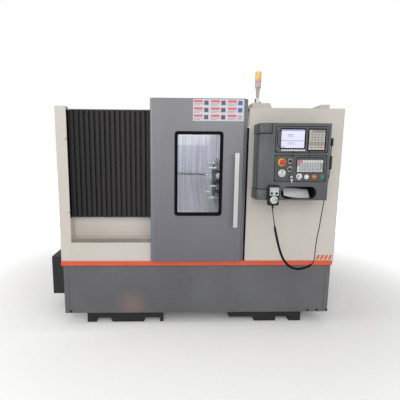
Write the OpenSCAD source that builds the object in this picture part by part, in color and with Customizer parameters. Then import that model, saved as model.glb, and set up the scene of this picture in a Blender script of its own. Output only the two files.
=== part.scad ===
// CNC turning lathe with a slant bed: one module per real piece, millimetres.
// Origin: middle of the footprint on the floor. +X is the operator's right, +Z is up,
// and the operator stands on the -Y side. Depths (v) count back from the cabinet's front plane.

/* [Cabinet] */
// width of the cabinet without the motor cover
body_w = 2360; // [2340:10:2400]
// depth of the cabinet from its front plane to the rear panel
body_d = 1500; // [1480:10:1560]
// top edge of the upper panels
top_z = 1865; // [1850:5:1890]
// lower edge of the skirts
skirt_z = 106; // [100:1:115]
// lower edge of the orange trim band
trim_z = 545; // [540:1:550]
// height of the trim band
trim_h = 38; // [34:1:42]
// sheet metal thickness
sheet = 3; // [2.5:0.5:4]
// width of the left front post
post_w = 90; // [84:1:96]
// width of the right hand cabinet front
cab_w = 789; // [780:1:800]
// bevel on the right front corner
bevel = 14; // [10:1:18]
// how far the motor cover stands out of the left side
motor_reach = 180; // [170:5:200]

/* [Corrugated cover] */
// distance between ribs
rib_pitch = 42; // [40:1:46]
// flat width of a rib's crest
rib_crest = 25; // [22:1:27]
// run of a rib's flank
rib_flank = 6; // [4:1:7]
// depth of the ribs
rib_depth = 18; // [14:1:22]
// crest plane behind the cabinet front
rib_v = 62; // [58:1:66]
// lower edge of the cover
rib_z0 = 955; // [945:1:965]

/* [Door] */
// width of the sliding door
door_w = 790; // [780:1:800]
// lower edge of the door
door_z0 = 592; // [590:1:600]
// upper edge of the door
door_z1 = 1928; // [1920:1:1940]
// door front ahead of the cabinet front
door_v = 45; // [42:1:50]
// door travel to the left
door_travel = 620; // [600:5:640]
// window frame width
win_w = 394; // [384:1:404]
// window frame height
win_h = 687; // [670:1:700]
// window frame's lower edge above the door's lower edge
win_up = 393; // [385:1:400]
// window frame's left edge from the door's left edge
win_in = 198; // [190:1:206]
// bar width of the window frame
win_bar = 26; // [22:1:30]
// handle length
handle_l = 606; // [590:1:620]

/* [Spindle and bed] */
// spindle axis behind the cabinet front
spin_v = 520; // [510:5:535]
// spindle axis above the floor
spin_z = 1050; // [1040:5:1065]
// slant of the bed in degrees
slant = 45; // [44:1:46]
// spindle axis above the bed face, square to the slant
bed_drop = 340; // [335:1:350]
// chuck radius
chuck_r = 127; // [122:1:130]
// radius of the bar passage through the spindle
bore_r = 33; // [30:1:34]
// radius of the spindle shaft
shaft_r = 80; // [76:1:84]
// radius of the turret disc's corners
disc_r = 165; // [160:1:170]
// tool tip radius of the turret
tip_r = 232; // [228:1:234]
// radius of the spindle pulley
pulley_r = 115; // [108:1:120]
// radius of the motor pulley
motor_pulley_r = 90; // [85:1:96]
// anchor hole radius in the bed's feet
anchor_r = 14; // [12:1:16]

/* [Operator panel] */
// panel width from the swivel axis to the right edge
panel_w = 485; // [478:1:500]
// panel height
panel_h = 591; // [585:1:605]
// panel's lower edge above the floor
panel_z0 = 1136; // [1125:1:1145]
// panel front ahead of the cabinet front
panel_v = 205; // [200:1:215]
// radius of the swivel column
hinge_r = 64; // [60:1:68]
// emergency stop head radius
estop_r = 22; // [18:1:24]
// handwheel radius
wheel_r = 30; // [28:1:33]
// push button radius
button_r = 14; // [12:0.5:15]
// override knob radius
knob_r = 13; // [11:0.5:14]

/* [Pendant] */
// pendant width
pend_w = 88; // [82:1:92]
// pendant height
pend_h = 158; // [150:1:165]
// pendant depth
pend_d = 43; // [40:1:46]
// pendant dial radius
dial_r = 30; // [27:1:32]
// cord radius
cord_r = 4; // [3.5:0.5:5]
// outer radius of the curled stretch
curl_r = 10; // [9:0.5:12]

/* [Hidden] */
$fn = 48;
// gap between faces that move past each other
run = 0.3;
// overlap that joins solids of one piece
eps = 0.01;

// main planes of the cabinet
rear_door_t = 12;
dial_reach = 20;
front_reach = panel_v + pend_d + dial_reach + 4;
x_right = (body_w + motor_reach) / 2;
x_left = x_right - body_w;
y_front = -(body_d + rear_door_t - front_reach) / 2;
trim_top = trim_z + trim_h;
post_x1 = x_left + post_w;
cab_x0 = x_right - cab_w;
door_gap = 18;
door_x1 = cab_x0 - door_gap;
door_x0 = door_x1 - door_w;
door_lap = 90;
open_x0 = door_x0 + door_lap;
open_x1 = cab_x0 - 41;
roof_z = top_z - 22;
groove_z = trim_top + 163;
groove_v = 26;
ledge_z = groove_z + 35;
guide_t = 13;
roof_v = rib_v + rib_depth + sheet;

// skirts and base slab
skirt_v = 15;
skirt_in_l = 8;
skirt_in_r = 20;
skirt_return = 40;
slab_h = 80;
slab_top = skirt_z + slab_h;

// slanted bed: point [depth, height] from slant coordinates [along, square]
function on_slant(t, h) = [spin_v + t * cos(slant) - h * sin(slant),
                           spin_z + t * sin(slant) + h * cos(slant)];
bed_x0 = x_left + 190;
bed_x1 = x_right - 241;
bed_t0 = -120;
bed_t1 = 560;
bed_nose = on_slant(bed_t0, -bed_drop);
bed_crown = on_slant(bed_t1, -bed_drop);
way_h = -bed_drop + 30;
foot_v = 60;
foot_d = 140;
foot_web_z = 40;
anchor_x0 = bed_x0 + 40;
anchor_x1 = bed_x1 - 51;
anchor_v0 = foot_v + foot_d / 2;
anchor_v1 = body_d - foot_v - foot_d / 2;

// work area walls
wall_t = 4;
liner_x1 = open_x1 + 220;
liner_v1 = 1110;
cover_t0 = -110;
cover_t1 = 575;
cover_h = -bed_drop + 93;
cover_step = sheet + run;
cover_leg = 40;
cover_lap = 20;
fixed_x1 = open_x0 + 217;
mid_x0 = fixed_x1 - cover_lap;
mid_x1 = mid_x0 + 205;
apron_x0 = mid_x1 - cover_lap;
sill_v = 110 + sheet;
sill_z = 800;
chute_z = 480;

// headstock, spindle and drive
head_x0 = x_left + 330;
head_x1 = open_x0 - 63;
head_t0 = -160;
head_t1 = 180;
head_h1 = 150;
nose_x1 = head_x1 + 45;
chuck_x1 = nose_x1 + 125;
jaw_x1 = chuck_x1 + 40;
pulley_x0 = x_left + 190;
pulley_x1 = pulley_x0 + 90;
rim = 7;
spin_x0 = x_left + 30;
motor_v = 500;
motor_z = 366;
motor_h = 110;
motor_x1 = pulley_x0 - 60;
motor_shaft_r = 24;

// saddle, cross slide and turret
saddle_x0 = apron_x0 + 240;
saddle_x1 = saddle_x0 + 225;
saddle_t0 = -100;
saddle_t1 = 500;
saddle_h1 = -bed_drop + 90;
screw_r = 16;
screw_t = 160;
screw_h = -bed_drop + 55;
rail_w = 25;
rail_h = 25;
slide_t = 265;
slide_h1 = saddle_h1 + 80;
house_h1 = 110;
disc_x1 = saddle_x0 - 5;
disc_x0 = disc_x1 - 90;
stations = 12;
disc_flat = disc_r * cos(180 / stations);
stub_r = 50;

// operator panel: places as shares of its width and height
axis_x = cab_x0 + 104;
axis_v = -panel_v + hinge_r;
panel_x1 = axis_x + panel_w;
panel_back = -25;
cap_top_h = 74;
cap_low_h = 82;
cap_gap = 7;
pin_r = 18;
pin_l = 40;
recess = 10;
proud = 2;
plate_v0 = -panel_v - proud;
plate_v1 = -panel_v + recess;
function px(f) = axis_x + f * panel_w;
function pz(f) = panel_z0 + f * panel_h;
cnc_at = [0.113, 0.955, 0.624, 0.958];
lcd_at = [0.204, 0.575, 0.684, 0.917];
mdi_at = [0.643, 0.901, 0.660, 0.917];
soft_at = [0.208, 0.594, 0.644, 0.667];
slot_at = [0.146, 0.194, 0.711, 0.895];
plate_at = [0.120, 0.953, 0.249, 0.592];
keypad_at = [0.478, 0.897, 0.371, 0.531];
pocket_at = [0.243, 0.823, 0.017, 0.183];
estop_at = [0.231, 0.499];
wheel_at = [0.231, 0.357];
feed_at = [0.365, 0.516];
speed_at = [0.365, 0.411];
key_at = [0.377, 0.311];
mode_at = [0.522, 0.311];
white_at = [0.641, 0.311];
orange_at = [0.765, 0.311];
green_at = [0.891, 0.311];
pocket_v = -85;
stem_r = 5;
key_r = 7;

// pendant and its cord
pend_x0 = axis_x + 6;
pend_x1 = pend_x0 + pend_w;
pend_z0 = panel_z0 - 38;
pend_z1 = pend_z0 + pend_h;
pend_v1 = -panel_v - 4;
pend_v0 = pend_v1 - pend_d;
dial_z = pend_z0 + 46;
cord_v0 = (pend_v0 + pend_v1) / 2;
plug_x = panel_x1 + 46;
plug_v = -120;
plug_z = panel_z0 + 470;
plug_low_z = plug_z - 45;
guide_z0 = panel_z0 + 240;
guide_z1 = panel_z0 + 345;

// the cord's route: share of the way across, share of the depth, height, radius
cord_route = [
    [0.00, 0.00, pend_z0, cord_r], [0.00, 0.00, pend_z0 - 20, cord_r],
    [0.015, 0.00, pend_z0 - 75, cord_r],
    [0.04, 0.01, pend_z0 - 140, cord_r], [0.06, 0.03, pend_z0 - 188, curl_r],
    [0.10, 0.07, pend_z0 - 262, curl_r], [0.15, 0.13, pend_z0 - 342, curl_r],
    [0.21, 0.20, pend_z0 - 414, curl_r], [0.28, 0.25, pend_z0 - 468, curl_r],
    [0.37, 0.31, pend_z0 - 507, curl_r], [0.49, 0.38, pend_z0 - 529, curl_r],
    [0.62, 0.47, pend_z0 - 525, curl_r], [0.73, 0.56, pend_z0 - 508, curl_r],
    [0.79, 0.64, pend_z0 - 484, cord_r], [0.815, 0.67, pend_z0 - 442, cord_r],
    [0.82, 0.70, pend_z0 - 388, cord_r], [0.83, 0.73, pend_z0 - 324, cord_r],
    [0.85, 0.76, pend_z0 - 255, cord_r], [0.875, 0.80, pend_z0 - 185, cord_r],
    [0.895, 0.84, pend_z0 - 107, cord_r], [0.915, 0.87, pend_z0 - 33, cord_r],
    [0.935, 0.91, panel_z0 - 6, cord_r], [0.96, 0.95, panel_z0 + 75, cord_r],
    [0.98, 0.98, panel_z0 + 148, cord_r], [1.00, 1.00, guide_z0 - 20, cord_r],
    [1.00, 1.00, guide_z1, cord_r], [1.00, 1.00, plug_low_z + 9.5, cord_r]
];
cord_sides = 8;
cord_steps = 3;

// tower light and roof boxes
roof_box_z = top_z + 53;
roof_box_v0 = 100;
roof_box_v1 = 450;
tower_x = cab_x0 + 108;
tower_v = 200;
tower_z = roof_box_z + 16;
lens_r = 25;
lens_z = [roof_box_z + 139, roof_box_z + 174, roof_box_z + 204, roof_box_z + 269];

// A box between two limits on each axis.
module block(x0, x1, v0, v1, z0, z1) {
    translate([x0, y_front + v0, z0])
        cube([x1 - x0, v1 - v0, z1 - z0]);
}

// A plan outline raised between two heights.
module plan(z0, z1) {
    translate([0, y_front, z0])
        linear_extrude(z1 - z0)
            children();
}

// A side outline [depth, height] run between two places across.
module section(x0, x1) {
    translate([x0, y_front, 0])
        rotate([90, 0, 90])
            linear_extrude(x1 - x0)
                children();
}

// A front outline [across, height] run between two depths.
module elevation(v0, v1) {
    translate([0, y_front + v1, 0])
        rotate([90, 0, 0])
            linear_extrude(v1 - v0)
                children();
}

// A round bar that points at the operator.
module stud(x, z, v0, v1, r) {
    translate([x, y_front + v1, z])
        rotate([90, 0, 0])
            cylinder(h = v1 - v0, r = r);
}

// A round bar along X.
module roll(x0, x1, v, z, r) {
    translate([x0, y_front + v, z])
        rotate([0, 90, 0])
            cylinder(h = x1 - x0, r = r);
}

// The slanted frame of the bed, with its origin on the spindle axis.
module on_bed() {
    translate([0, y_front + spin_v, spin_z])
        rotate([slant, 0, 0])
            children();
}

// A box in the slanted frame: across, along the slant, square to it.
module bed_block(x0, x1, t0, t1, h0, h1) {
    on_bed()
        translate([x0, t0, h0])
            cube([x1 - x0, t1 - t0, h1 - h0]);
}

// A round bar along X in the slanted frame.
module bed_roll(x0, x1, t, h, r) {
    on_bed()
        translate([x0, t, h])
            rotate([0, 90, 0])
                cylinder(h = x1 - x0, r = r);
}

// A rectangle with round corners between two corners.
module round_rect(x0, x1, z0, z1, r) {
    translate([x0 + r, z0])
        square([x1 - x0 - 2 * r, z1 - z0]);
    translate([x0, z0 + r])
        square([x1 - x0, z1 - z0 - 2 * r]);
    for (x = [x0 + r, x1 - r], z = [z0 + r, z1 - r])
        translate([x, z])
            circle(r = r);
}

// A block on the panel, given as shares of its width and height.
module panel_area(at, v0, v1, grow = 0) {
    block(px(at[0]) - grow, px(at[1]) + grow, v0, v1, pz(at[2]) - grow, pz(at[3]) + grow);
}

// A grid of square keys inside an area of the panel.
module key_grid(at, cols, rows, gap, v0, v1) {
    pitch_x = (at[1] - at[0]) / cols;
    pitch_z = (at[3] - at[2]) / rows;
    for (i = [0 : cols - 1], j = [0 : rows - 1])
        block(px(at[0] + i * pitch_x) + gap, px(at[0] + (i + 1) * pitch_x) - gap, v0, v1,
              pz(at[2] + j * pitch_z) + gap, pz(at[2] + (j + 1) * pitch_z) - gap);
}

// The cast bed with its feet, base slab, slanted body, box ways and screw bearings.
module bed_casting() {
    left_foot = [
        [bed_x0, skirt_z + eps], [bed_x0, 0], [bed_x0 + 81, 0], [bed_x0 + 81, foot_web_z],
        [bed_x0 + 208, foot_web_z], [bed_x0 + 222, 0], [bed_x0 + 505, 0],
        [bed_x0 + 519, foot_web_z], [bed_x0 + 650, foot_web_z], [bed_x0 + 650, 0],
        [bed_x0 + 680, 0], [bed_x0 + 680, skirt_z + eps]
    ];
    right_foot = [
        [bed_x1 - 685, skirt_z + eps], [bed_x1 - 655, foot_web_z], [bed_x1 - 424, foot_web_z],
        [bed_x1 - 424, 0], [bed_x1 - 230, 0], [bed_x1 - 230, foot_web_z],
        [bed_x1 - 105, foot_web_z], [bed_x1 - 105, 0], [bed_x1, 0], [bed_x1, skirt_z + eps]
    ];
    color("#2b2c2e")
        difference() {
            union() {
                block(x_left + skirt_in_l + sheet, x_right - skirt_in_r - sheet, skirt_v + sheet,
                      body_d - sheet, skirt_z, slab_top);
                for (v = [foot_v, body_d - foot_v - foot_d]) {
                    elevation(v, v + foot_d)
                        polygon(left_foot);
                    elevation(v, v + foot_d)
                        polygon(right_foot);
                }
                section(bed_x0, bed_x1)
                    polygon([[bed_nose[0], slab_top - eps], bed_nose, bed_crown,
                             [bed_crown[0] + 44, bed_crown[1]],
                             [bed_crown[0] + 44, slab_top - eps]]);
                for (t = [-90, 430])
                    bed_block(head_x1 + 20, bed_x1, t, t + 70, -bed_drop - eps, way_h);
                for (x = [open_x0 + wall_t + 8, bed_x1 - 44])
                    bed_block(x, x + 30, screw_t - 30, screw_t + 30, -bed_drop - eps,
                              screw_h + screw_r + 4);
            }
            for (x = [anchor_x0, anchor_x1], v = [anchor_v0, anchor_v1])
                translate([x, y_front + v, -eps])
                    cylinder(h = slab_top + 2 * eps, r = anchor_r);
            bed_roll(open_x0, bed_x1 + eps, screw_t, screw_h, screw_r + run);
        }
}

// The headstock casting on the bed's left end, bored for the spindle.
module headstock() {
    color("#6f7478")
        difference() {
            bed_block(head_x0, head_x1, head_t0, head_t1, -bed_drop, head_h1);
            roll(head_x0 - 1, head_x1 + 1, spin_v, spin_z, shaft_r + run);
        }
}

// The spindle with its driven pulley, front flange and rear chucking cylinder.
module spindle() {
    color("#b9bcc0")
        difference() {
            union() {
                roll(spin_x0, head_x1 + 5, spin_v, spin_z, shaft_r);
                roll(head_x1 + 4, nose_x1, spin_v, spin_z, shaft_r + 25);
                roll(pulley_x0, pulley_x1, spin_v, spin_z, pulley_r);
                roll(pulley_x0, pulley_x0 + rim, spin_v, spin_z, pulley_r + rim);
                roll(pulley_x1 - rim, pulley_x1, spin_v, spin_z, pulley_r + rim);
                roll(spin_x0 + 10, pulley_x0 - 30, spin_v, spin_z, shaft_r + 15);
            }
            roll(spin_x0 - 1, nose_x1 + 1, spin_v, spin_z, bore_r);
        }
}

// The three jaw power chuck: a turned body with a slot for each jaw.
module chuck_body() {
    len = chuck_x1 - nose_x1;
    cham = 6;
    color("#8b9095")
        translate([0, y_front + spin_v, spin_z])
            difference() {
                translate([nose_x1, 0, 0])
                    rotate([0, 90, 0])
                        rotate_extrude()
                            polygon([[bore_r + 1, 0], [chuck_r - cham, 0], [chuck_r, cham],
                                     [chuck_r, len - cham], [chuck_r - cham, len],
                                     [bore_r + 1, len]]);
                for (a = [0, 120, 240])
                    rotate([a, 0, 0])
                        translate([chuck_x1 - 12, -9.3, bore_r - 4])
                            cube([14, 18.6, chuck_r]);
            }
}

// One stepped chuck jaw with its tongue in the chuck's slot.
module chuck_jaw(a) {
    tongue_w = 18;
    jaw_w = 36;
    grip_r = 45;
    jaw_l = 68;
    color("#55595e")
        translate([0, y_front + spin_v, spin_z])
            rotate([a, 0, 0]) {
                translate([chuck_x1 - 11.7, -tongue_w / 2, grip_r])
                    cube([12.5, tongue_w, jaw_l - 5]);
                translate([chuck_x1 + run, -jaw_w / 2, grip_r])
                    cube([jaw_x1 - chuck_x1 - 18, jaw_w, jaw_l]);
                translate([chuck_x1 + run, -jaw_w / 2, grip_r + 24])
                    cube([jaw_x1 - chuck_x1 - run, jaw_w, jaw_l - 24]);
            }
}

module chuck_jaw_1() chuck_jaw(0);

module chuck_jaw_2() chuck_jaw(120);

module chuck_jaw_3() chuck_jaw(240);

// The spindle motor on its foot, partly out of the left side.
module spindle_motor() {
    end_cap = 40;
    color("#33373b")
        difference() {
            union() {
                block(x_left - motor_reach + 20 + end_cap, motor_x1, motor_v - motor_h,
                      motor_v + motor_h, motor_z - motor_h, motor_z + motor_h);
                roll(x_left - motor_reach + 20, x_left - motor_reach + 21 + end_cap, motor_v,
                     motor_z, motor_h - 15);
                block(x_left + 20, motor_x1 - 5, motor_v - motor_h - 10, motor_v + motor_h + 10,
                      slab_top, motor_z - motor_h + eps);
            }
            roll(motor_x1 - 60, motor_x1 + 1, motor_v, motor_z, motor_shaft_r + run);
        }
}

// The motor's shaft with its belt pulley.
module motor_pulley() {
    color("#a3a7ab") {
        roll(motor_x1 - 55, pulley_x0 + 1, motor_v, motor_z, motor_shaft_r);
        roll(pulley_x0, pulley_x1, motor_v, motor_z, motor_pulley_r);
        roll(pulley_x0, pulley_x0 + rim, motor_v, motor_z, motor_pulley_r + rim);
        roll(pulley_x1 - rim, pulley_x1, motor_v, motor_z, motor_pulley_r + rim);
    }
}

// The outline of a belt round both pulleys, grown by a distance.
module belt_outline(grow) {
    r1 = pulley_r + grow;
    r2 = motor_pulley_r + grow;
    c1 = [spin_v, spin_z];
    c2 = [motor_v, motor_z];
    turn = atan2(motor_z - spin_z, motor_v - spin_v);
    lean = acos((r1 - r2) / norm(c2 - c1));
    steps = 36;
    polygon(concat(
        [for (i = [0 : steps])
            let (a = turn + lean + i * (360 - 2 * lean) / steps)
                c1 + r1 * [cos(a), sin(a)]],
        [for (i = [0 : steps])
            let (a = turn - lean + i * 2 * lean / steps)
                c2 + r2 * [cos(a), sin(a)]]));
}

// The flat belt from the motor up to the spindle.
module drive_belt() {
    belt_t = 6;
    color("#1c1c1c")
        section(pulley_x0 + rim + 2, pulley_x1 - rim - 2)
            difference() {
                belt_outline(run + belt_t);
                belt_outline(run);
            }
}

// The black sheet box over the motor on the left side.
module motor_cover() {
    x1 = x_left + skirt_in_l;
    color("#34383b")
        difference() {
            block(x_left - motor_reach, x1, 300, 700, skirt_z + 70, trim_z - 5);
            block(x_left - motor_reach + sheet, x1 + 1, 300 + sheet, 700 - sheet,
                  skirt_z + 70 + sheet, trim_z - 5 - sheet);
        }
}

// The grey sheet across the front of the base.
module front_skirt() {
    color("#5c5d60")
        block(x_left + skirt_in_l + skirt_return + 1, x_right - skirt_in_r - skirt_return - 1,
              skirt_v, skirt_v + sheet, skirt_z, trim_z);
}

// The left and right base sheets, each folded round its front corner.
module side_skirts() {
    xl = x_left + skirt_in_l;
    xr = x_right - skirt_in_r;
    color("#66686b") {
        difference() {
            block(xl, xl + sheet, skirt_v, body_d - sheet, skirt_z, trim_z);
            block(xl - 1, xl + sheet + 1, 312, 688, skirt_z + 84, trim_z - 16);
        }
        block(xl, xl + skirt_return, skirt_v, skirt_v + sheet, skirt_z, trim_z);
        block(xr - sheet, xr, skirt_v, body_d - sheet, skirt_z, trim_z);
        block(xr - skirt_return, xr, skirt_v, skirt_v + sheet, skirt_z, trim_z);
    }
}

// The rear sheet with two raised service doors.
module rear_panel() {
    mid = (x_left + x_right) / 2;
    color("#c9c5ba") {
        block(x_left, x_right, body_d - sheet, body_d, skirt_z, top_z);
        block(x_left + 120, mid - 30, body_d - eps, body_d + rear_door_t, trim_top + 90,
              top_z - 120);
        block(mid + 30, x_right - 120, body_d - eps, body_d + rear_door_t, trim_top + 90,
              top_z - 120);
    }
}

// The orange band round the front and both sides.
module trim_strip() {
    out = 3;
    ahead = 8;
    deep = 40;
    inset = 18;
    color("#e2512b") {
        plan(trim_z, trim_top)
            polygon([[x_left - out, -ahead], [x_right - inset, -ahead], [x_right + out, 60],
                     [x_right + out - deep, 60], [x_right + out - deep, deep - ahead],
                     [x_left - out, deep - ahead]]);
        block(x_left - out, x_left - out + deep, -ahead, body_d - sheet, trim_z, trim_top);
        block(x_right + out - deep, x_right + out, 60 - eps, body_d - sheet, trim_z, trim_top);
    }
}

// The left side sheet with its front post, open where bar stock enters the spindle.
module left_end_panel() {
    color("#cac5ba") {
        difference() {
            block(x_left, x_left + sheet, 0, body_d - sheet, trim_top, top_z);
            roll(x_left - 1, x_left + sheet + 1, spin_v, spin_z, shaft_r + 10);
        }
        block(x_left, post_x1, 0, sheet, trim_top, top_z);
        block(post_x1 - sheet, post_x1, 0, roof_v, trim_top, top_z);
        block(post_x1 - sheet, post_x1, 0, sill_v, trim_top, rib_z0 + 60);
    }
}

// The dark corrugated cover that the door slides in front of.
module corrugated_cover() {
    width = open_x0 - post_x1;
    count = floor(width / rib_pitch);
    start = post_x1 + (width - count * rib_pitch) / 2 + (rib_pitch - rib_crest) / 2 - rib_flank;
    low = rib_v + rib_depth;
    front = concat(
        [[post_x1, low]],
        [for (i = [0 : count - 1])
            for (p = [[0, low], [rib_flank, rib_v], [rib_flank + rib_crest, rib_v],
                      [2 * rib_flank + rib_crest, low]])
                [start + i * rib_pitch + p[0], p[1]]],
        [[open_x0, low]]);
    back = [for (i = [len(front) - 1 : -1 : 0]) front[i] + [0, sheet]];
    color("#454443")
        plan(rib_z0, roof_z + sheet)
            polygon(concat(front, back));
}

// The folded sheet below the corrugated cover and the door opening.
module lower_front_panel() {
    color("#c8c3b8") {
        block(post_x1, cab_x0, 0, sheet, trim_top, groove_z);
        block(post_x1, cab_x0, 0, groove_v + sheet, groove_z - sheet, groove_z);
        block(post_x1, cab_x0, groove_v, groove_v + sheet, groove_z - sheet, ledge_z);
        block(post_x1, cab_x0, groove_v, sill_v, ledge_z - sheet, ledge_z);
        block(post_x1, cab_x0, sill_v - sheet, sill_v, ledge_z - sheet, sill_z);
        block(post_x1, open_x0, sill_v - sheet, sill_v, ledge_z - sheet, rib_z0 + 60);
    }
}

// The right hand cabinet sheet: side return, front, bevelled corner and right side.
module right_cabinet() {
    fold = sheet * tan(22.5);
    back = body_d - sheet;
    color("#c8c4ba") {
        plan(trim_top, top_z)
            polygon([[cab_x0, roof_v], [cab_x0, 0], [x_right - bevel, 0], [x_right, bevel],
                     [x_right, back], [x_right - sheet, back], [x_right - sheet, bevel + fold],
                     [x_right - bevel - fold, sheet], [cab_x0 + sheet, sheet],
                     [cab_x0 + sheet, roof_v]]);
        block(open_x1, cab_x0 + eps, 32, 32 + sheet, sill_z, roof_z);
    }
}

// The roof sheet with its front flange and two raised boxes.
module roof_panel() {
    flange = 45;
    left_x = cab_x0 + 42;
    right_x = x_right - 90;
    z0 = roof_z - sheet;
    color("#c6c2b7") {
        block(x_left + sheet, x_right - sheet, roof_v, body_d - sheet, z0, roof_z);
        block(x_left + sheet, post_x1 - sheet, sheet, roof_v + eps, z0, roof_z);
        block(cab_x0 + sheet, x_right - bevel - sheet, sheet, roof_v + eps, z0, roof_z);
        block(post_x1, open_x0, roof_v, roof_v + sheet, roof_z - flange, roof_z);
        block(open_x0 + wall_t, cab_x0, roof_v, roof_v + sheet, roof_z - flange, roof_z);
        elevation(roof_box_v0, roof_box_v1)
            polygon([[left_x, z0], [left_x, roof_box_z], [left_x + 150, roof_box_z],
                     [left_x + 182, z0]]);
        elevation(roof_box_v0, roof_box_v1)
            polygon([[right_x - 100, z0], [right_x - 68, roof_box_z - 8],
                     [right_x, roof_box_z - 8], [right_x, z0]]);
    }
}

// The upper rail on the roof and the dark guide bar in the lower groove.
module door_rails() {
    color("#2a2a2b") {
        block(post_x1, cab_x0, 100, 130, roof_z, roof_z + 12);
        block(post_x1, cab_x0, groove_v - guide_t, groove_v, groove_z + 2, ledge_z - sheet + 1);
    }
}

// The outline of a side wall of the work area, whose lower edge clears the way covers.
module liner_wall(clear) {
    top = roof_z - sheet;
    edge0 = on_slant(cover_t0 - 2, cover_h + clear);
    edge1 = on_slant(cover_t1 + 3, cover_h + clear);
    chute_drop = (sill_z - chute_z) / (bed_nose[0] - sill_v);
    foot_z = sill_z - chute_drop * (edge0[0] - sill_v);
    polygon([[roof_v + sheet, top], [liner_v1, top], [liner_v1, edge1[1]], edge1, edge0,
             [edge0[0], foot_z], [sill_v, sill_z], [roof_v + sheet, sill_z]]);
}

// The sheet walls of the work area: chuck guard, right wall, rear wall and chip chute.
module splash_liner() {
    top = roof_z - sheet;
    edge1 = on_slant(cover_t1 + 3, cover_h + 3);
    color("#b4b7b8") {
        difference() {
            section(open_x0, open_x0 + wall_t)
                liner_wall(run);
            roll(open_x0 - 1, open_x0 + wall_t + 1, spin_v, spin_z, chuck_r + 10);
        }
        section(liner_x1, liner_x1 + wall_t)
            liner_wall(3);
        block(open_x0 + wall_t, liner_x1, liner_v1 - wall_t, liner_v1, edge1[1], top);
        section(open_x0, liner_x1 + wall_t)
            polygon([[sill_v, sill_z], [bed_nose[0], chute_z], [bed_nose[0], chute_z - wall_t],
                     [sill_v, sill_z - wall_t]]);
    }
}

// One telescopic way cover: a plate on the slant with a leg at each end.
module way_cover(x0, x1, level) {
    t0 = cover_t0 + level * cover_step;
    t1 = cover_t1 - level * cover_step;
    h1 = cover_h - level * cover_step;
    bed_block(x0, x1, t0, t1, h1 - sheet, h1);
    bed_block(x0, x1, t0, t0 + sheet, h1 - cover_leg, h1);
    bed_block(x0, x1, t1 - sheet, t1, h1 - cover_leg, h1);
}

// The cover section fixed to the chuck guard.
module way_cover_fixed() {
    color("#a9adaf")
        way_cover(open_x0, fixed_x1, 0);
}

// The middle cover section, which moves half as far as the saddle.
module way_cover_mid() {
    color("#b3b7b9")
        way_cover(mid_x0, mid_x1, 1);
}

// The cover sections on the saddle's left and right.
module saddle_aprons() {
    color("#bcc0c2") {
        way_cover(apron_x0, saddle_x0, 2);
        way_cover(saddle_x1, bed_x1 - 49, 2);
    }
}

// The ball screw along the bed.
module z_ballscrew() {
    color("#c4c7ca")
        bed_roll(open_x0 + wall_t + 10, bed_x1 - 2, screw_t, screw_h, screw_r);
}

// The servo motor at the screw's right end, on the end bearing.
module z_servo_motor() {
    color("#3a3d41")
        bed_block(bed_x1 + run, bed_x1 + 150, screw_t - 55, screw_t + 55, -bed_drop,
                  screw_h + 55);
    color("#3a3d41")
        bed_block(bed_x1 - 14, bed_x1 + 1, screw_t - 55, screw_t - 26, -bed_drop, screw_h + 10);
}

// The saddle on the box ways, with the screw nut and the cross rails.
module z_saddle() {
    color("#7d8286")
        difference() {
            union() {
                bed_block(saddle_x0, saddle_x1, saddle_t0, saddle_t1, way_h + run, saddle_h1);
                for (x = [saddle_x0 + 20, saddle_x1 - 20 - rail_w])
                    bed_block(x, x + rail_w, saddle_t0 + 20, saddle_t1 - 20, saddle_h1 - eps,
                              saddle_h1 + rail_h);
            }
            for (x = [saddle_x0 - 1, saddle_x1 - 89])
                bed_block(x, x + 90, screw_t - 26, screw_t + 26, way_h, screw_h + screw_r + 6);
            bed_roll(saddle_x0, saddle_x1, screw_t, screw_h, screw_r + run);
        }
}

// The cross slide with the turret housing.
module x_slide() {
    half = 115;
    x0 = saddle_x0 + 5;
    x1 = saddle_x1 - 5;
    color("#8f9498")
        difference() {
            union() {
                bed_block(x0, x1, slide_t - half, slide_t + half, saddle_h1 + run, slide_h1);
                bed_block(x0, x1 - 25, slide_t - half + 10, slide_t + half - 10, slide_h1 - eps,
                          house_h1);
            }
            for (x = [saddle_x0 + 20, saddle_x1 - 20 - rail_w])
                bed_block(x - run, x + rail_w + run, slide_t - half - 1, slide_t + half + 1,
                          saddle_h1, saddle_h1 + rail_h + run);
            bed_roll(x0 - 1, x0 + 70, slide_t, 0, stub_r + run);
        }
}

// The twelve sided turret disc with its shaft and centre cap.
module turret_disc() {
    color("#4a4e52")
        on_bed()
            translate([0, slide_t, 0])
                rotate([0, 90, 0]) {
                    translate([0, 0, disc_x0])
                        rotate([0, 0, 180 / stations])
                            cylinder(h = disc_x1 - disc_x0, r = disc_r, $fn = stations);
                    translate([0, 0, disc_x0 - 12])
                        cylinder(h = 13, r = 62);
                    translate([0, 0, disc_x1 - 1])
                        cylinder(h = 66, r = stub_r);
                }
}

// The tool holders round the turret: turning tools and boring bars in turn.
module tool_set() {
    hold_w = 54;
    hold_h = 44;
    bit = 20;
    bar_r = 12;
    color("#9da2a6")
        on_bed()
            translate([0, slide_t, 0])
                for (i = [0 : stations - 1])
                    rotate([180 + i * 360 / stations, 0, 0]) {
                        translate([disc_x0 + 6, disc_flat, -hold_w / 2])
                            cube([disc_x1 - disc_x0 - 12, hold_h, hold_w]);
                        if (i % 2 == 0)
                            translate([disc_x0 + 12, disc_flat + 4, -bit / 2])
                                cube([bit, tip_r - disc_flat - 4, bit]);
                        else
                            translate([disc_x0 - 60, disc_flat + hold_h / 2, 0])
                                rotate([0, 90, 0])
                                    cylinder(h = 70, r = bar_r, $fn = 24);
                    }
}

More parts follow.
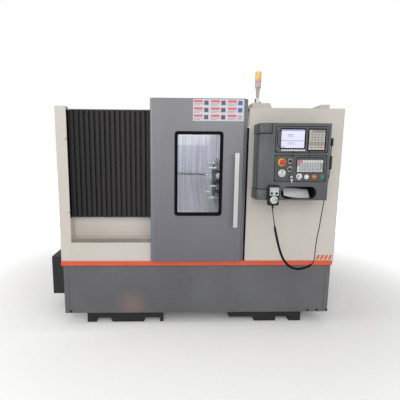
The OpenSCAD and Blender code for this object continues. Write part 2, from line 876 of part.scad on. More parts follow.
// The fixed blocks above and below the panel's column, with their swivel pins.
module panel_hinge_blocks() {
    z1 = panel_z0 + panel_h;
    color("#85878a")
        for (z = [panel_z0, z1 - cap_top_h]) {
            h = z == panel_z0 ? cap_low_h : cap_top_h;
            translate([axis_x, y_front + axis_v, z])
                cylinder(h = h, r = hinge_r);
            block(axis_x - hinge_r, axis_x + hinge_r, axis_v, 0, z, z + h);
            translate([axis_x, y_front + axis_v, z == panel_z0 ? z + h - eps : z - pin_l])
                cylinder(h = pin_l + eps, r = pin_r);
        }
}

// The swivelling panel housing with its recesses and document pocket.
module panel_box() {
    z1 = panel_z0 + panel_h;
    low = panel_z0 + cap_low_h + cap_gap;
    high = z1 - cap_top_h - cap_gap;
    notch = hinge_r + cap_gap;
    end_r = (pz(pocket_at[3]) - pz(pocket_at[2])) / 2;
    color("#6d6f72")
        difference() {
            union() {
                block(axis_x, panel_x1, -panel_v, panel_back, panel_z0, z1);
                translate([axis_x, y_front + axis_v, low])
                    cylinder(h = high - low, r = hinge_r);
                block(axis_x - hinge_r, axis_x + eps, axis_v, panel_back, low, high);
            }
            for (z = [[panel_z0 - 1, low], [high, z1 + 1]]) {
                translate([axis_x, y_front + axis_v, z[0]])
                    cylinder(h = z[1] - z[0], r = notch);
                block(axis_x - notch, axis_x + notch, axis_v, panel_back + 1, z[0], z[1]);
            }
            translate([axis_x, y_front + axis_v, low - 1])
                cylinder(h = pin_l + 2, r = pin_r + run);
            translate([axis_x, y_front + axis_v, high - pin_l - 1])
                cylinder(h = pin_l + 2, r = pin_r + run);
            panel_area(cnc_at, -panel_v - 1, plate_v1);
            panel_area(plate_at, -panel_v - 1, plate_v1);
            elevation(-panel_v - 1, pocket_v)
                round_rect(px(pocket_at[0]), px(pocket_at[1]), pz(pocket_at[2]),
                           pz(pocket_at[3]), end_r - eps);
        }
}

// The control unit: bezel with screen and keypad recesses, card slot and soft keys.
module cnc_unit() {
    deep = 4;
    color("#3c3e41")
        difference() {
            union() {
                panel_area(cnc_at, plate_v0, plate_v1);
                panel_area(slot_at, plate_v0 - 3, plate_v0 + eps);
                key_grid(soft_at, 10, 1, 1.5, plate_v0 - 2, plate_v0 + eps);
            }
            panel_area(lcd_at, plate_v0 - 1, plate_v0 + deep);
            panel_area(mdi_at, plate_v0 - 1, plate_v0 + deep);
        }
}

// The display glass.
module lcd_screen() {
    color("#c9c6dd")
        panel_area(lcd_at, plate_v0 + 1, plate_v0 + 4);
}

// The alphanumeric keypad beside the screen.
module mdi_keypad() {
    color("#b6b3a8") {
        panel_area(mdi_at, plate_v0, plate_v0 + 4);
        key_grid(mdi_at, 5, 8, 1.6, plate_v0 - 2.5, plate_v0 + eps);
    }
}

// The lower plate with collars and holes for the controls.
module operator_plate() {
    collar = 3;
    color("#46484b")
        difference() {
            union() {
                panel_area(plate_at, plate_v0, plate_v1);
                stud(px(estop_at[0]), pz(estop_at[1]), plate_v0 - 4, plate_v0 + eps, wheel_r);
                for (p = [white_at, orange_at, green_at])
                    stud(px(p[0]), pz(p[1]), plate_v0 - 4, plate_v0 + eps,
                         button_r + collar);
                for (p = [key_at, mode_at])
                    stud(px(p[0]), pz(p[1]), plate_v0 - 3, plate_v0 + eps, knob_r);
            }
            for (p = [white_at, orange_at, green_at])
                stud(px(p[0]), pz(p[1]), plate_v0 - 5, plate_v1 + 1, button_r + run);
            for (p = [wheel_at, feed_at, speed_at, mode_at])
                stud(px(p[0]), pz(p[1]), plate_v0 - 5, plate_v1 + 1, stem_r + run);
            stud(px(key_at[0]), pz(key_at[1]), plate_v0 - 5, plate_v1 + 1, key_r + run);
            stud(px(estop_at[0]), pz(estop_at[1]), plate_v0 - 5, plate_v1 + 1, 11 + run);
            panel_area(keypad_at, plate_v0 - 1, plate_v0 + 3);
        }
}

// The machine keys beside the override knobs.
module operator_keypad() {
    color("#c6c8c8") {
        panel_area(keypad_at, plate_v0, plate_v0 + 3);
        key_grid(keypad_at, 10, 4, 1.6, plate_v0 - 2.5, plate_v0 + eps);
    }
}

// The red mushroom head on its stem.
module estop_button() {
    x = px(estop_at[0]);
    z = pz(estop_at[1]);
    color("#c4241f") {
        stud(x, z, plate_v0 - 18, plate_v1 - 5, 11);
        translate([x, y_front + plate_v0 - 16, z])
            rotate([90, 0, 0])
                cylinder(h = 8, r1 = estop_r - 3, r2 = estop_r);
        translate([x, y_front + plate_v0 - 24 + eps, z])
            rotate([90, 0, 0])
                cylinder(h = 7, r1 = estop_r, r2 = estop_r - 6);
    }
}

// The pulse handwheel with its finger knob.
module panel_handwheel() {
    x = px(wheel_at[0]);
    z = pz(wheel_at[1]);
    color("#d2d3d2") {
        stud(x, z, plate_v0 - 8, plate_v1 - 3, stem_r);
        stud(x, z, plate_v0 - 18, plate_v0 - 4, wheel_r);
        stud(x, z, plate_v0 - 22, plate_v0 - 17, wheel_r - 8);
        stud(x, z + wheel_r - 14, plate_v0 - 40, plate_v0 - 21, 5);
    }
}

// A rotary knob with a raised pointer.
module knob(at) {
    x = px(at[0]);
    z = pz(at[1]);
    stud(x, z, plate_v0 - 4, plate_v1 - 3, stem_r);
    stud(x, z, plate_v0 - 14, plate_v0 - 3, knob_r);
    block(x - 3, x + 3, plate_v0 - 20, plate_v0 - 13, z - knob_r + 1, z + knob_r - 1);
}

// The feed override knob.
module feed_knob() {
    color("#1f2022")
        knob(feed_at);
}

// The spindle speed override knob.
module speed_knob() {
    color("#1f2022")
        knob(speed_at);
}

// The program lock's plug with its key.
module key_switch() {
    x = px(key_at[0]);
    z = pz(key_at[1]);
    color("#a9acae") {
        stud(x, z, plate_v0 - 5, plate_v1 - 3, key_r);
        block(x - 1.5, x + 1.5, plate_v0 - 26, plate_v0 - 4, z - 5, z + 5);
        stud(x, z, plate_v0 - 30, plate_v0 - 25, 9);
    }
}

// The selector with a lever over its legend plate.
module mode_selector() {
    x = px(mode_at[0]);
    z = pz(mode_at[1]);
    color("#bfc1c2") {
        stud(x, z, plate_v0 - 4, plate_v1 - 3, stem_r);
        stud(x, z, plate_v0 - 12, plate_v0 - 3.5, knob_r - 2);
        block(x - 4, x + 4, plate_v0 - 20, plate_v0 - 11, z - knob_r + 3, z + knob_r + 4);
    }
}

// A push button in its collar.
module push_button(at) {
    stud(px(at[0]), pz(at[1]), plate_v0 - 9, plate_v1 - 5, button_r);
}

// The white button.
module button_white() {
    color("#e4e4e0")
        push_button(white_at);
}

// The orange cycle hold button.
module button_orange() {
    color("#e0622a")
        push_button(orange_at);
}

// The green cycle start button.
module button_green() {
    color("#3f9a4c")
        push_button(green_at);
}

// The booklet that stands in the document pocket.
module manual() {
    color("#d9d6cc")
        block(px(pocket_at[0]) + 30, px(pocket_at[1]) - 30, pocket_v - 30, pocket_v - 12,
              pz(pocket_at[2]) + 6, pz(pocket_at[3]) - 12);
    color("#b9bfc4")
        block(px(pocket_at[0]) + 44, px(pocket_at[1]) - 52, pocket_v - 12 - eps, pocket_v,
              pz(pocket_at[2]) + 0.5, pz(pocket_at[3]) - 16);
}

// The hand pendant on its hanger, with its two selector knobs and cord gland.
module pendant_body() {
    mid = (pend_x0 + pend_x1) / 2;
    color("#202225")
        difference() {
            union() {
                elevation(pend_v0, pend_v1)
                    round_rect(pend_x0, pend_x1, pend_z0, pend_z1, 12);
                block(mid - 10, pend_x1 - 12, pend_v1 - eps, -panel_v, pend_z1 - 70,
                      pend_z1 - 14);
                block(pend_x0 + 8, pend_x1 - 8, pend_v0 - 2, pend_v0 + eps, dial_z + dial_r + 4,
                      pend_z1 - 16);
                for (x = [mid - 19, mid + 19])
                    stud(x, dial_z + dial_r + 20, pend_v0 - 12, pend_v0 + eps, 9);
                translate([mid, y_front + cord_v0, pend_z0 - 16])
                    cylinder(h = 17, r = cord_r + 5);
            }
            stud(mid, dial_z, pend_v0 - 1, pend_v0 + 12, stem_r + run);
            translate([mid, y_front + cord_v0, pend_z0 - 17])
                cylinder(h = 17 + run, r = cord_r + 1);
        }
}

// The pendant's pulse dial.
module pendant_dial() {
    mid = (pend_x0 + pend_x1) / 2;
    color("#cfd1d2") {
        stud(mid, dial_z, pend_v0 - 4, pend_v0 + 10, stem_r);
        stud(mid, dial_z, pend_v0 - 13, pend_v0 - 3, dial_r);
        stud(mid + dial_r - 12, dial_z, pend_v0 - dial_reach, pend_v0 - 12, 6);
    }
}

// A point of the cord's route in millimetres.
function cord_point(p) = [pend_x0 + pend_w / 2 + p[0] * (plug_x - pend_x0 - pend_w / 2),
                          y_front + cord_v0 + p[1] * (plug_v - cord_v0), p[2], p[3]];

// A smooth curve through four points at share s of the middle span.
function curve(a, b, c, d, s) =
    0.5 * (2 * b + (c - a) * s + (2 * a - 5 * b + 4 * c - d) * s * s
           + (3 * b - a - 3 * c + d) * s * s * s);

// The curled cord from the pendant to its plug: one tube, wider where it is curled.
module pendant_cord() {
    pts = [for (p = cord_route) cord_point(p)];
    n = len(pts);
    fine = concat(
        [for (i = [0 : n - 2], k = [0 : cord_steps - 1])
            curve(pts[max(i - 1, 0)], pts[i], pts[i + 1], pts[min(i + 2, n - 1)],
                  k / cord_steps)],
        [pts[n - 1]]);
    m = len(fine);
    rings = [for (i = [0 : m - 1])
        let (a = fine[max(i - 1, 0)], b = fine[min(i + 1, m - 1)],
             d = [b[0] - a[0], b[1] - a[1], b[2] - a[2]],
             t = d / norm(d),
             side0 = [0, 1, 0] - t[1] * t,
             side = side0 / norm(side0),
             up = cross(t, side))
            for (k = [0 : cord_sides - 1])
                let (w = 360 * k / cord_sides)
                    [fine[i][0], fine[i][1], fine[i][2]]
                    + max(fine[i][3], cord_r) * (cos(w) * side + sin(w) * up)];
    walls = [for (i = [0 : m - 2], k = [0 : cord_sides - 1])
        let (a = i * cord_sides + k, b = i * cord_sides + (k + 1) % cord_sides)
            [a, b, b + cord_sides, a + cord_sides]];
    ends = [[for (k = [cord_sides - 1 : -1 : 0]) k],
            [for (k = [0 : cord_sides - 1]) (m - 1) * cord_sides + k]];
    color("#1d1d1f")
        polyhedron(points = rings, faces = [for (f = concat(walls, ends))
            [for (i = [len(f) - 1 : -1 : 0]) f[i]]], convexity = 6);
}

// The cord's plug on the panel's right side and the guide below it.
module cord_plug() {
    hole = cord_r + 1;
    color("#242527")
        difference() {
            union() {
                roll(panel_x1, plug_x, plug_v, plug_z, 15);
                translate([plug_x, y_front + plug_v, plug_low_z])
                    cylinder(h = plug_z - plug_low_z + 15, r = 13);
                block(panel_x1, plug_x + 10, plug_v - 10, plug_v + 10, guide_z0, guide_z1);
            }
            translate([plug_x, y_front + plug_v, guide_z0 - 1])
                cylinder(h = guide_z1 - guide_z0 + 2, r = hole);
            translate([plug_x, y_front + plug_v, plug_low_z - 1])
                cylinder(h = 11, r = hole);
        }
}

// The tower light's foot and tapered stem.
module tower_stand() {
    color("#8e8f92") {
        translate([tower_x, y_front + tower_v, roof_box_z])
            cylinder(h = tower_z - roof_box_z, r = 24);
        translate([tower_x, y_front + tower_v, tower_z - eps])
            cylinder(h = lens_z[0] - tower_z + eps, r1 = 8, r2 = lens_r - 7);
    }
}

// One lens of the tower light.
module tower_lens(z0, z1) {
    translate([tower_x, y_front + tower_v, z0])
        cylinder(h = z1 - z0, r = lens_r);
}

// The amber lens with the dark cap's place on top.
module tower_lens_amber() {
    color("#e39a2e")
        tower_lens(lens_z[2], lens_z[3]);
}

// The red lens.
module tower_lens_red() {
    color("#c9584f")
        tower_lens(lens_z[1], lens_z[2]);
}

// The clear lens.
module tower_lens_clear() {
    color("#b9b4b6")
        tower_lens(lens_z[0], lens_z[1]);
}

// The folded door skin: round left edge, bevelled right edge, top hood and hangers.
module door_panel() {
    t = 4;
    back = -8;
    bend = 32;
    fold = 36;
    hood_v = 135;
    arc = [for (a = [0 : 15 : 90]) [door_x0 + bend - bend * cos(a), -door_v + bend - bend * sin(a)]];
    inner = [for (a = [90 : -15 : 0])
        [door_x0 + bend - (bend - t) * cos(a), -door_v + bend - (bend - t) * sin(a)]];
    skin = concat([[door_x0, back]], arc,
                  [[door_x1 - fold, -door_v], [door_x1, back - 2], [door_x1, back + t],
                   [door_x1 - fold - 1, -door_v + t]],
                  inner, [[door_x0 + t, back]]);
    color("#76787a")
        difference() {
            union() {
                plan(door_z0, door_z1)
                    polygon(skin);
                plan(door_z1 - t, door_z1)
                    polygon([[door_x0, back], [door_x0 + bend, -door_v],
                             [door_x1 - fold, -door_v], [door_x1, back - 2],
                             [door_x1, hood_v], [door_x0, hood_v]]);
                plan(door_z0, door_z0 + t)
                    polygon([[door_x0, back], [door_x0 + bend, -door_v],
                             [door_x1 - fold, -door_v], [door_x1, back - 2]]);
                block(door_x0, door_x1, hood_v - t, hood_v, roof_z + 20, door_z1);
                for (x = [door_x0 + 60, door_x1 - 160])
                    block(x, x + 100, 104, 126, roof_z + 12 + run, door_z1 - t + eps);
                for (x = [door_x0 + 60, door_x1 - 160])
                    block(x, x + 80, -door_v + t - eps, groove_v - guide_t - run, groove_z + 6,
                          ledge_z - 7);
            }
            elevation(-door_v - 1, -door_v + t + 1)
                round_rect(door_x0 + win_in + 12, door_x0 + win_in + win_w - 12,
                           door_z0 + win_up + 12, door_z0 + win_up + win_h - 12, 20);
        }
}

// The black window frame with its spigot in the door's cutout.
module window_frame() {
    x0 = door_x0 + win_in;
    z0 = door_z0 + win_up;
    color("#17181a")
        difference() {
            union() {
                elevation(-door_v - 5, -door_v)
                    round_rect(x0, x0 + win_w, z0, z0 + win_h, 26);
                elevation(-door_v - eps, -door_v + 4)
                    round_rect(x0 + 12, x0 + win_w - 12, z0 + 12, z0 + win_h - 12, 20);
            }
            elevation(-door_v - 6, -door_v + 5)
                round_rect(x0 + win_bar, x0 + win_w - win_bar, z0 + win_bar + 4,
                           z0 + win_h - win_bar, 12);
        }
}

// The laminated glass behind the door skin.
module window_glass() {
    x0 = door_x0 + win_in;
    z0 = door_z0 + win_up;
    color([0.8, 0.86, 0.88, 0.35])
        block(x0 - 4, x0 + win_w + 4, -door_v + 4, -door_v + 10, z0 - 4, z0 + win_h + 4);
}

// The flat bar handle on two posts.
module door_handle() {
    x0 = door_x1 - 108;
    z0 = door_z0 + 303;
    bar_w = 34;
    bar_t = 10;
    stand = 45;
    color("#d4d6d6") {
        block(x0, x0 + bar_w, -door_v - stand - bar_t, -door_v - stand, z0, z0 + handle_l);
        for (z = [z0 + 50, z0 + handle_l - 50])
            stud(x0 + bar_w / 2, z, -door_v - stand - 1, -door_v, 9);
    }
}

bed_casting();
headstock();
spindle_motor();
drive_belt();
motor_cover();
front_skirt();
side_skirts();
rear_panel();
trim_strip();
left_end_panel();
corrugated_cover();
lower_front_panel();
right_cabinet();
roof_panel();
door_rails();
splash_liner();
way_cover_fixed();
way_cover_mid();
saddle_aprons();
z_ballscrew();
z_servo_motor();
panel_hinge_blocks();
tower_stand();
tower_lens_amber();
tower_lens_red();
tower_lens_clear();
door_panel();
window_frame();
window_glass();
door_handle();
spindle();
chuck_body();
chuck_jaw_1();
chuck_jaw_2();
chuck_jaw_3();
motor_pulley();
z_saddle();
x_slide();
turret_disc();
tool_set();
panel_box();
cnc_unit();
lcd_screen();
mdi_keypad();
operator_plate();
operator_keypad();
estop_button();
panel_handwheel();
feed_knob();
speed_knob();
key_switch();
mode_selector();
button_white();
button_orange();
button_green();
manual();
pendant_body();
pendant_dial();
pendant_cord();
cord_plug();
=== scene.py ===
"""Looks of a slant-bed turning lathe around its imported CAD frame, in metres.
+X is the operator's right, +Z is up, and the operator stands on the -Y side."""
import bpy
import numpy as np
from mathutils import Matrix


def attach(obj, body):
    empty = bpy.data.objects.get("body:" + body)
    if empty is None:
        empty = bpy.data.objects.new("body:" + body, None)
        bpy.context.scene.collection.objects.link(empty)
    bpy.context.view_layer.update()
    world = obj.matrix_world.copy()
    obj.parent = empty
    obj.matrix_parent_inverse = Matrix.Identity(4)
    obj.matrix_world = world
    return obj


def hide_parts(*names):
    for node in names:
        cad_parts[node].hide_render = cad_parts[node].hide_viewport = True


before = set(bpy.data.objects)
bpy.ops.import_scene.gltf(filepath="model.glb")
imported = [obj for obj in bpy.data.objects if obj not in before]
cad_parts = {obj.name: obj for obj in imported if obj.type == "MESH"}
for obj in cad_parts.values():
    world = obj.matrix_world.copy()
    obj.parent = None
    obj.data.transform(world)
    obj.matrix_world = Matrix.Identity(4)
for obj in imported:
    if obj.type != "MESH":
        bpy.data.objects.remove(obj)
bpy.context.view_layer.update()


# Bed casting: grey iron poured in sand, filled, ground at the joints and sprayed black.
# It stands on its own cast feet; the filled skin shows as a slow mottled gloss with fine pits.
def lin(code):
    """sRGB hex to linear colour: c / 12.92 where c is dark, ((c + 0.055) / 1.055)^2.4 elsewhere."""
    c = np.array([int(code[i:i + 2], 16) for i in (1, 3, 5)]) / 255
    return (*np.where(c < 0.04045, c / 12.92, ((c + 0.055) / 1.055) ** 2.4).tolist(), 1.0)


def add(mat, kind, values=None, **links):
    """One shader node: the one of that name if there is one, or else a new one of that kind. Values
    go to its sockets or settings by name, stops to its ramp, and links feed the sockets of those
    names (_ is a space)."""
    nodes = mat.node_tree.nodes
    node = nodes[kind] if kind in nodes else nodes.new(kind)
    for key, value in (values or {}).items():
        if key == "stops":
            for i, (at, code) in enumerate(value):
                spot = node.color_ramp.elements[i] if i < 2 else node.color_ramp.elements.new(at)
                spot.position, spot.color = at, lin(code)
        elif key in node.inputs:
            node.inputs[key].default_value = value
        else:
            setattr(node, key, value)
    for key, out in links.items():
        mat.node_tree.links.new(out, node.inputs[key.replace("_", " ")])
    return node


def shader(name):
    """A new material with a node tree of its own."""
    mat = bpy.data.materials.new(name)
    mat.use_nodes = True
    return mat


def skin(name, base, shade, rough, grain, depth, blotch, stretch=(1, 1, 1), **sockets):
    """A coated, cast or moulded surface. Colour and gloss drift from base to shade over patches of
    the blotch size, drawn out by stretch, and a grain of its size stands up by depth."""
    mat = shader(name)
    place = add(mat, "ShaderNodeTexCoord").outputs["Object"]
    drawn = add(mat, "ShaderNodeMapping", {"Scale": stretch}, Vector=place).outputs["Vector"]
    drift = add(mat, "ShaderNodeTexNoise", {"Scale": 1 / blotch, "Detail": 4.0}, Vector=drawn)
    tint = add(mat, "ShaderNodeValToRGB", {"stops": ((0.34, base), (0.68, shade))},
               Fac=drift.outputs["Fac"])
    gloss = add(mat, "ShaderNodeMapRange", {"To Min": rough - 0.06, "To Max": rough + 0.08},
                Value=drift.outputs["Fac"])
    peel = add(mat, "ShaderNodeTexNoise", {"Scale": 1 / grain, "Detail": 2.0}, Vector=drawn)
    lift = add(mat, "ShaderNodeBump", {"Strength": 0.5, "Distance": depth},
               Height=peel.outputs["Fac"])
    add(mat, "Principled BSDF", sockets, Base_Color=tint.outputs["Color"],
        Roughness=gloss.outputs["Result"], Normal=lift.outputs["Normal"])
    return mat


def dress(mat, edge, *names):
    """CAD solids take a finish. Their loose triangles are welded, and edges sharper than 40 degrees
    get a small round of that width, as broken or folded edges have."""
    for name in names:
        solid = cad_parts[name]
        solid.data.materials.clear()
        solid.data.materials.append(mat)
        if edge:
            solid.modifiers.new("weld", "WELD").merge_threshold = 1e-5
            broken = solid.modifiers.new("edge", "BEVEL")
            broken.width, broken.segments = edge, 2
            broken.limit_method, broken.angle_limit = "ANGLE", np.radians(40)


# sand-cast pits of about 4 mm under a satin black coat
cast_black = skin("sprayed_cast_iron_black", "#17181a", "#212224", 0.55, 0.004, 0.0006, 0.12)
dress(cast_black, 0.004, "bed_casting")


# Headstock, saddle and cross slide: machined iron castings in grey hammer enamel.
# They are bolted or guided on the bed's ways.
cast_grey = skin("enamelled_cast_iron_grey", "#747a7f", "#868c90", 0.42, 0.003, 0.0004, 0.1)
dress(cast_grey, 0.003, "headstock", "z_saddle", "x_slide")


# Spindle, pulleys and chuck: steel turned and ground bright, with fine rings of wear.
# The jaws and the turret disc are blackened in a hot salt bath.
ground_steel = skin("ground_steel", "#b4b8bb", "#c6c9cb", 0.26, 0.0015, 0.00005, 0.03,
                    (1, 6, 6), Metallic=1.0)
black_steel = skin("blackened_steel", "#3a3d40", "#4c5054", 0.38, 0.002, 0.00008, 0.04,
                   Metallic=0.9)
dress(ground_steel, 0.001, "spindle", "motor_pulley", "chuck_body", "tool_set")
dress(black_steel, 0.001, "chuck_jaw_1", "chuck_jaw_2", "chuck_jaw_3", "turret_disc")


# Z ball screw: a 32 mm bar of ground steel with a right-hand ball groove of 20 mm lead.
# It turns in two bearings on the bed and draws the saddle along by its nut.
def circle(count):
    """Even angles round one full turn."""
    return np.linspace(0, 2 * np.pi, count, endpoint=False)


def surface(name, grid, mat, wrap=(False, True), caps=True):
    """A quad mesh on a grid of points (rows, columns, xyz): each face joins a point to its next
    neighbours, round again where wrapped. Caps close the first and the last row."""
    m, n = grid.shape[:2]
    ids = np.arange(m * n).reshape(m, n)
    ids = np.vstack([ids, ids[:1]]) if wrap[0] else ids
    ids = np.hstack([ids, ids[:, :1]]) if wrap[1] else ids
    quads = np.stack([ids[:-1, :-1], ids[:-1, 1:], ids[1:, 1:], ids[1:, :-1]], -1)
    faces = quads.reshape(-1, 4).tolist()
    if caps:
        faces += [ids[0, :n][::-1].tolist(), ids[-1, :n].tolist()]
    mesh = bpy.data.meshes.new(name)
    mesh.from_pydata(grid.reshape(-1, 3).tolist(), [], faces)
    mesh.polygons.foreach_set("use_smooth", np.ones(len(faces), bool))
    mesh.set_sharp_from_angle(angle=np.radians(35))
    mesh.materials.append(mat)
    piece = bpy.data.objects.new(name, mesh)
    bpy.context.scene.collection.objects.link(piece)
    return piece


# the groove's place is the share of a lead along the bar less the share of a turn round it, and
# its section is a half ellipse 6.4 mm wide and 1.8 mm deep; both ends are plain journals
bar_long, journal, lead = 1.25, 0.04, 0.02
bar_x, bar_y, bar_z = -0.223, 0.21466, 0.96161
bar_h = np.linspace(0, bar_long, 782)[:, None]
bar_a = circle(28)[None, :]
groove_at = (bar_h / lead - bar_a / (2 * np.pi)) % 1
threaded = np.abs(bar_h - bar_long / 2) < bar_long / 2 - journal
groove = np.sqrt(np.clip(1 - ((groove_at - 0.5) / 0.16) ** 2, 0, 1)) * threaded
bar_r = 0.016 - 0.0018 * groove
screw_grid = np.stack([bar_x + bar_h + 0 * bar_a, bar_y + bar_r * np.cos(bar_a),
                       bar_z + bar_r * np.sin(bar_a)], -1)
screw_bar = surface("ball_screw", screw_grid, ground_steel)
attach(screw_bar, "screw")
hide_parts("z_ballscrew")


# Motors and the motor box on the left side: housings and folded sheet in satin black paint.
# The drive belt is ribbed rubber that runs from the motor up to the spindle pulley.
motor_black = skin("satin_black_paint", "#16191b", "#1f2224", 0.4, 0.0025, 0.0002, 0.25)
dress(motor_black, 0.002, "spindle_motor", "z_servo_motor", "motor_cover")
belt_rubber = skin("belt_rubber", "#191919", "#242424", 0.75, 0.002, 0.0002, 0.05)
dress(belt_rubber, 0, "drive_belt")


# Base skirts: folded 3 mm sheet in dark grey powder coat, with a soft brown patch of shop dust.
# Powder coat has an orange peel of about 1.5 mm, drawn at 4 mm so that it shows.
skirt_grey = skin("dark_grey_powder_coat", "#595a5d", "#66676a", 0.46, 0.004, 0.00025, 0.45,
                  (1, 1, 0.6))
skirt_spot = add(skirt_grey, "ShaderNodeTexCoord").outputs["Object"]
skirt_coat = add(skirt_grey, "Principled BSDF").inputs["Base Color"].links[0].from_socket
# the dust lies low on the front, about 0.3 m across, and fades out with the distance
SKIRT_Y = -0.605
dust_reach = 0.18
away = add(skirt_grey, "ShaderNodeVectorMath", {"operation": "DISTANCE"}, Vector=skirt_spot)
away.inputs[1].default_value = (-0.492, SKIRT_Y, 0.17)
fade = add(skirt_grey, "ShaderNodeMapRange",
           {"From Min": 0.0, "From Max": dust_reach, "To Min": 0.95, "To Max": 0.0,
            "interpolation_type": "SMOOTHSTEP"}, Value=away.outputs["Value"])
dust = add(skirt_grey, "ShaderNodeMixRGB", {"Color2": lin("#7c6b64")}, Color1=skirt_coat,
           Fac=fade.outputs["Result"])
add(skirt_grey, "Principled BSDF", Base_Color=dust.outputs["Color"])
dress(skirt_grey, 0.002, "front_skirt", "side_skirts")


# Trim band: a narrow folded sheet profile in signal orange paint.
# It is screwed on round the machine between the base and the cabinet.
trim_orange = skin("signal_orange_paint", "#dc5030", "#e15d3c", 0.4, 0.004, 0.00015, 0.3)
dress(trim_orange, 0.002, "trim_strip")


# Cabinet sheets: 3 mm steel, folded and powder coated in warm cream.
# They are bolted to each other and stand round the bed on the base.
cream = skin("cream_powder_coat", "#c9c3ba", "#d0cac2", 0.42, 0.004, 0.0002, 0.7)
dress(cream, 0.002, "left_end_panel", "lower_front_panel", "right_cabinet", "roof_panel",
      "rear_panel")


# Corrugated side cover: one steel sheet pressed into upright ribs, in matt charcoal coat.
# It closes the headstock side, and the open door stands in front of it.
charcoal = skin("charcoal_powder_coat", "#272526", "#302d2e", 0.5, 0.004, 0.0002, 0.35,
                (1, 1, 0.25), **{"Specular IOR Level": 0.3})
dress(charcoal, 0.0015, "corrugated_cover")


# Door rails: drawn steel bars, greyed by oil and wiped by the door's shoes.
# One is screwed to the roof and one lies in the lower groove.
rail_steel = skin("oiled_drawn_steel", "#7f7970", "#8f8a80", 0.4, 0.003, 0.0001, 0.2,
                  (0.1, 1, 1), Metallic=0.35)
dress(rail_steel, 0.001, "door_rails")


# Work area: a stainless liner, brushed upright and streaked by coolant, and polished way covers.
# The brush marks are drawn about 5 mm wide, coarser than real, so that they show.
stainless = skin("brushed_stainless_steel", "#b4b3bf", "#e6e5ec", 0.38, 0.005, 0.0002, 0.014,
                 (1, 1, 0.02), Metallic=0.3)
dress(stainless, 0.001, "splash_liner")
polished = skin("polished_stainless_covers", "#d3d2da", "#f4f3f7", 0.3, 0.005, 0.0001, 0.016,
                (1, 0.03, 0.03), Metallic=0.25)
dress(polished, 0.001, "way_cover_fixed", "way_cover_mid", "saddle_aprons")


# Work lamp: a sealed tube of light emitting diodes with a clear plastic diffuser.
# It is clipped under the roof, just behind the door.
FRONT = np.array([[1, 0, 0], [0, 0, 1], [0, -1, 0]])
UP = np.array([[0, 1, 0], [-1, 0, 0], [0, 0, 1]])
RIGHT = np.array([[0, 1, 0], [0, 0, 1], [1, 0, 0]])


def turned(name, profile, centre, mat, axis=FRONT, steps=40, lobes=0, lobe=0.0):
    """A turned piece: the (radius, height) profile goes round the axis, p = c + r cos(a) e1
    + r sin(a) e2 + h e3. Lobes flute the radius by lobe times cos(lobes a)."""
    r, h = np.array(profile, float).T
    a = circle(steps)
    round_r = r[:, None] * (1 + (lobe * np.cos(lobes * a))[None, :] * (r[:, None] > 0.3 * r.max()))
    local = np.stack([round_r * np.cos(a), round_r * np.sin(a),
                      np.repeat(h[:, None], steps, 1)], -1)
    return surface(name, np.array(centre) + local @ axis, mat)


lamp_light = shader("led_tube_diffuser")
add(lamp_light, "Principled BSDF",
    {"Base Color": lin("#f2f4f4"), "Roughness": 0.3, "Emission Color": lin("#f4f7ff"),
     "Emission Strength": 130.0})
lamp_r, lamp_long, lamp_end = 0.012, 0.56, (-0.18, -0.49, 1.8278)
work_lamp = turned("work_lamp", [(0.002, 0), (lamp_r, 0.001), (lamp_r, lamp_long - 0.001),
                                 (0.002, lamp_long)], lamp_end, lamp_light, RIGHT, 16)
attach(work_lamp, "machine")


# Sliding door: one folded sheet in mid grey powder coat, with a bevelled closing edge and a hood
# over the roof that hangs on the upper rail. Its grey is painted darker towards its foot, as painted
# shade for the light that falls off down the door.
door_grey = skin("mid_grey_powder_coat", "#7d7d82", "#8a8a8f", 0.42, 0.004, 0.0002, 0.6,
                 (1, 1, 0.4))
door_coat = add(door_grey, "Principled BSDF").inputs["Base Color"].links[0].from_socket
door_spot = add(door_grey, "ShaderNodeSeparateXYZ",
                Vector=add(door_grey, "ShaderNodeTexCoord").outputs["Object"])
door_shade_height = add(door_grey, "ShaderNodeMapRange", {"From Min": 0.5, "From Max": 1.75},
                Value=door_spot.outputs["Z"])
# painted shade: below 1.75 m the coat is mixed towards a darker grey, fully at 0.5 m
door_painted_shade = add(door_grey, "ShaderNodeMixRGB", {"Color1": lin("#66656e")}, Color2=door_coat,
                Fac=door_shade_height.outputs["Result"])
add(door_grey, "Principled BSDF", Base_Color=door_painted_shade.outputs["Color"])
dress(door_grey, 0.0015, "door_panel")


# Window: laminated safety glass behind the door skin, with upright runs of dried coolant mist.
# A moulded black rubber frame with round corners holds it in the cutout.
frame_rubber = skin("moulded_black_rubber", "#070708", "#0d0d0e", 0.6, 0.002, 0.0002, 0.08,
                    **{"Specular IOR Level": 0.1})
dress(frame_rubber, 0.002, "window_frame")
glass = shader("laminated_glass")
glass_place = add(glass, "ShaderNodeTexCoord").outputs["Object"]
glass_drawn = add(glass, "ShaderNodeMapping", {"Scale": (1, 1, 0.02)}, Vector=glass_place)
glass_runs = add(glass, "ShaderNodeTexNoise", {"Scale": 90.0, "Detail": 1.0},
                 Vector=glass_drawn.outputs["Vector"])
glass_film = add(glass, "ShaderNodeBump", {"Strength": 0.3, "Distance": 0.0004},
                 Height=glass_runs.outputs["Fac"])
add(glass, "Principled BSDF",
    {"Base Color": lin("#f1f5f4"), "Roughness": 0.03, "IOR": 1.45, "Transmission Weight": 1.0},
    Normal=glass_film.outputs["Normal"])
dress(glass, 0, "window_glass")


# Door seal: a hollow black rubber bumper, extruded and glued along the cabinet's return; its black also
# stands for the shade deep in the gap behind the door's edge, as painted shade. The door's closing edge
# stops just short of it.
def squared(c, power):
    """A cosine or sine drawn towards a square: its sign times its size to the power."""
    return np.sign(c) * np.abs(c) ** power


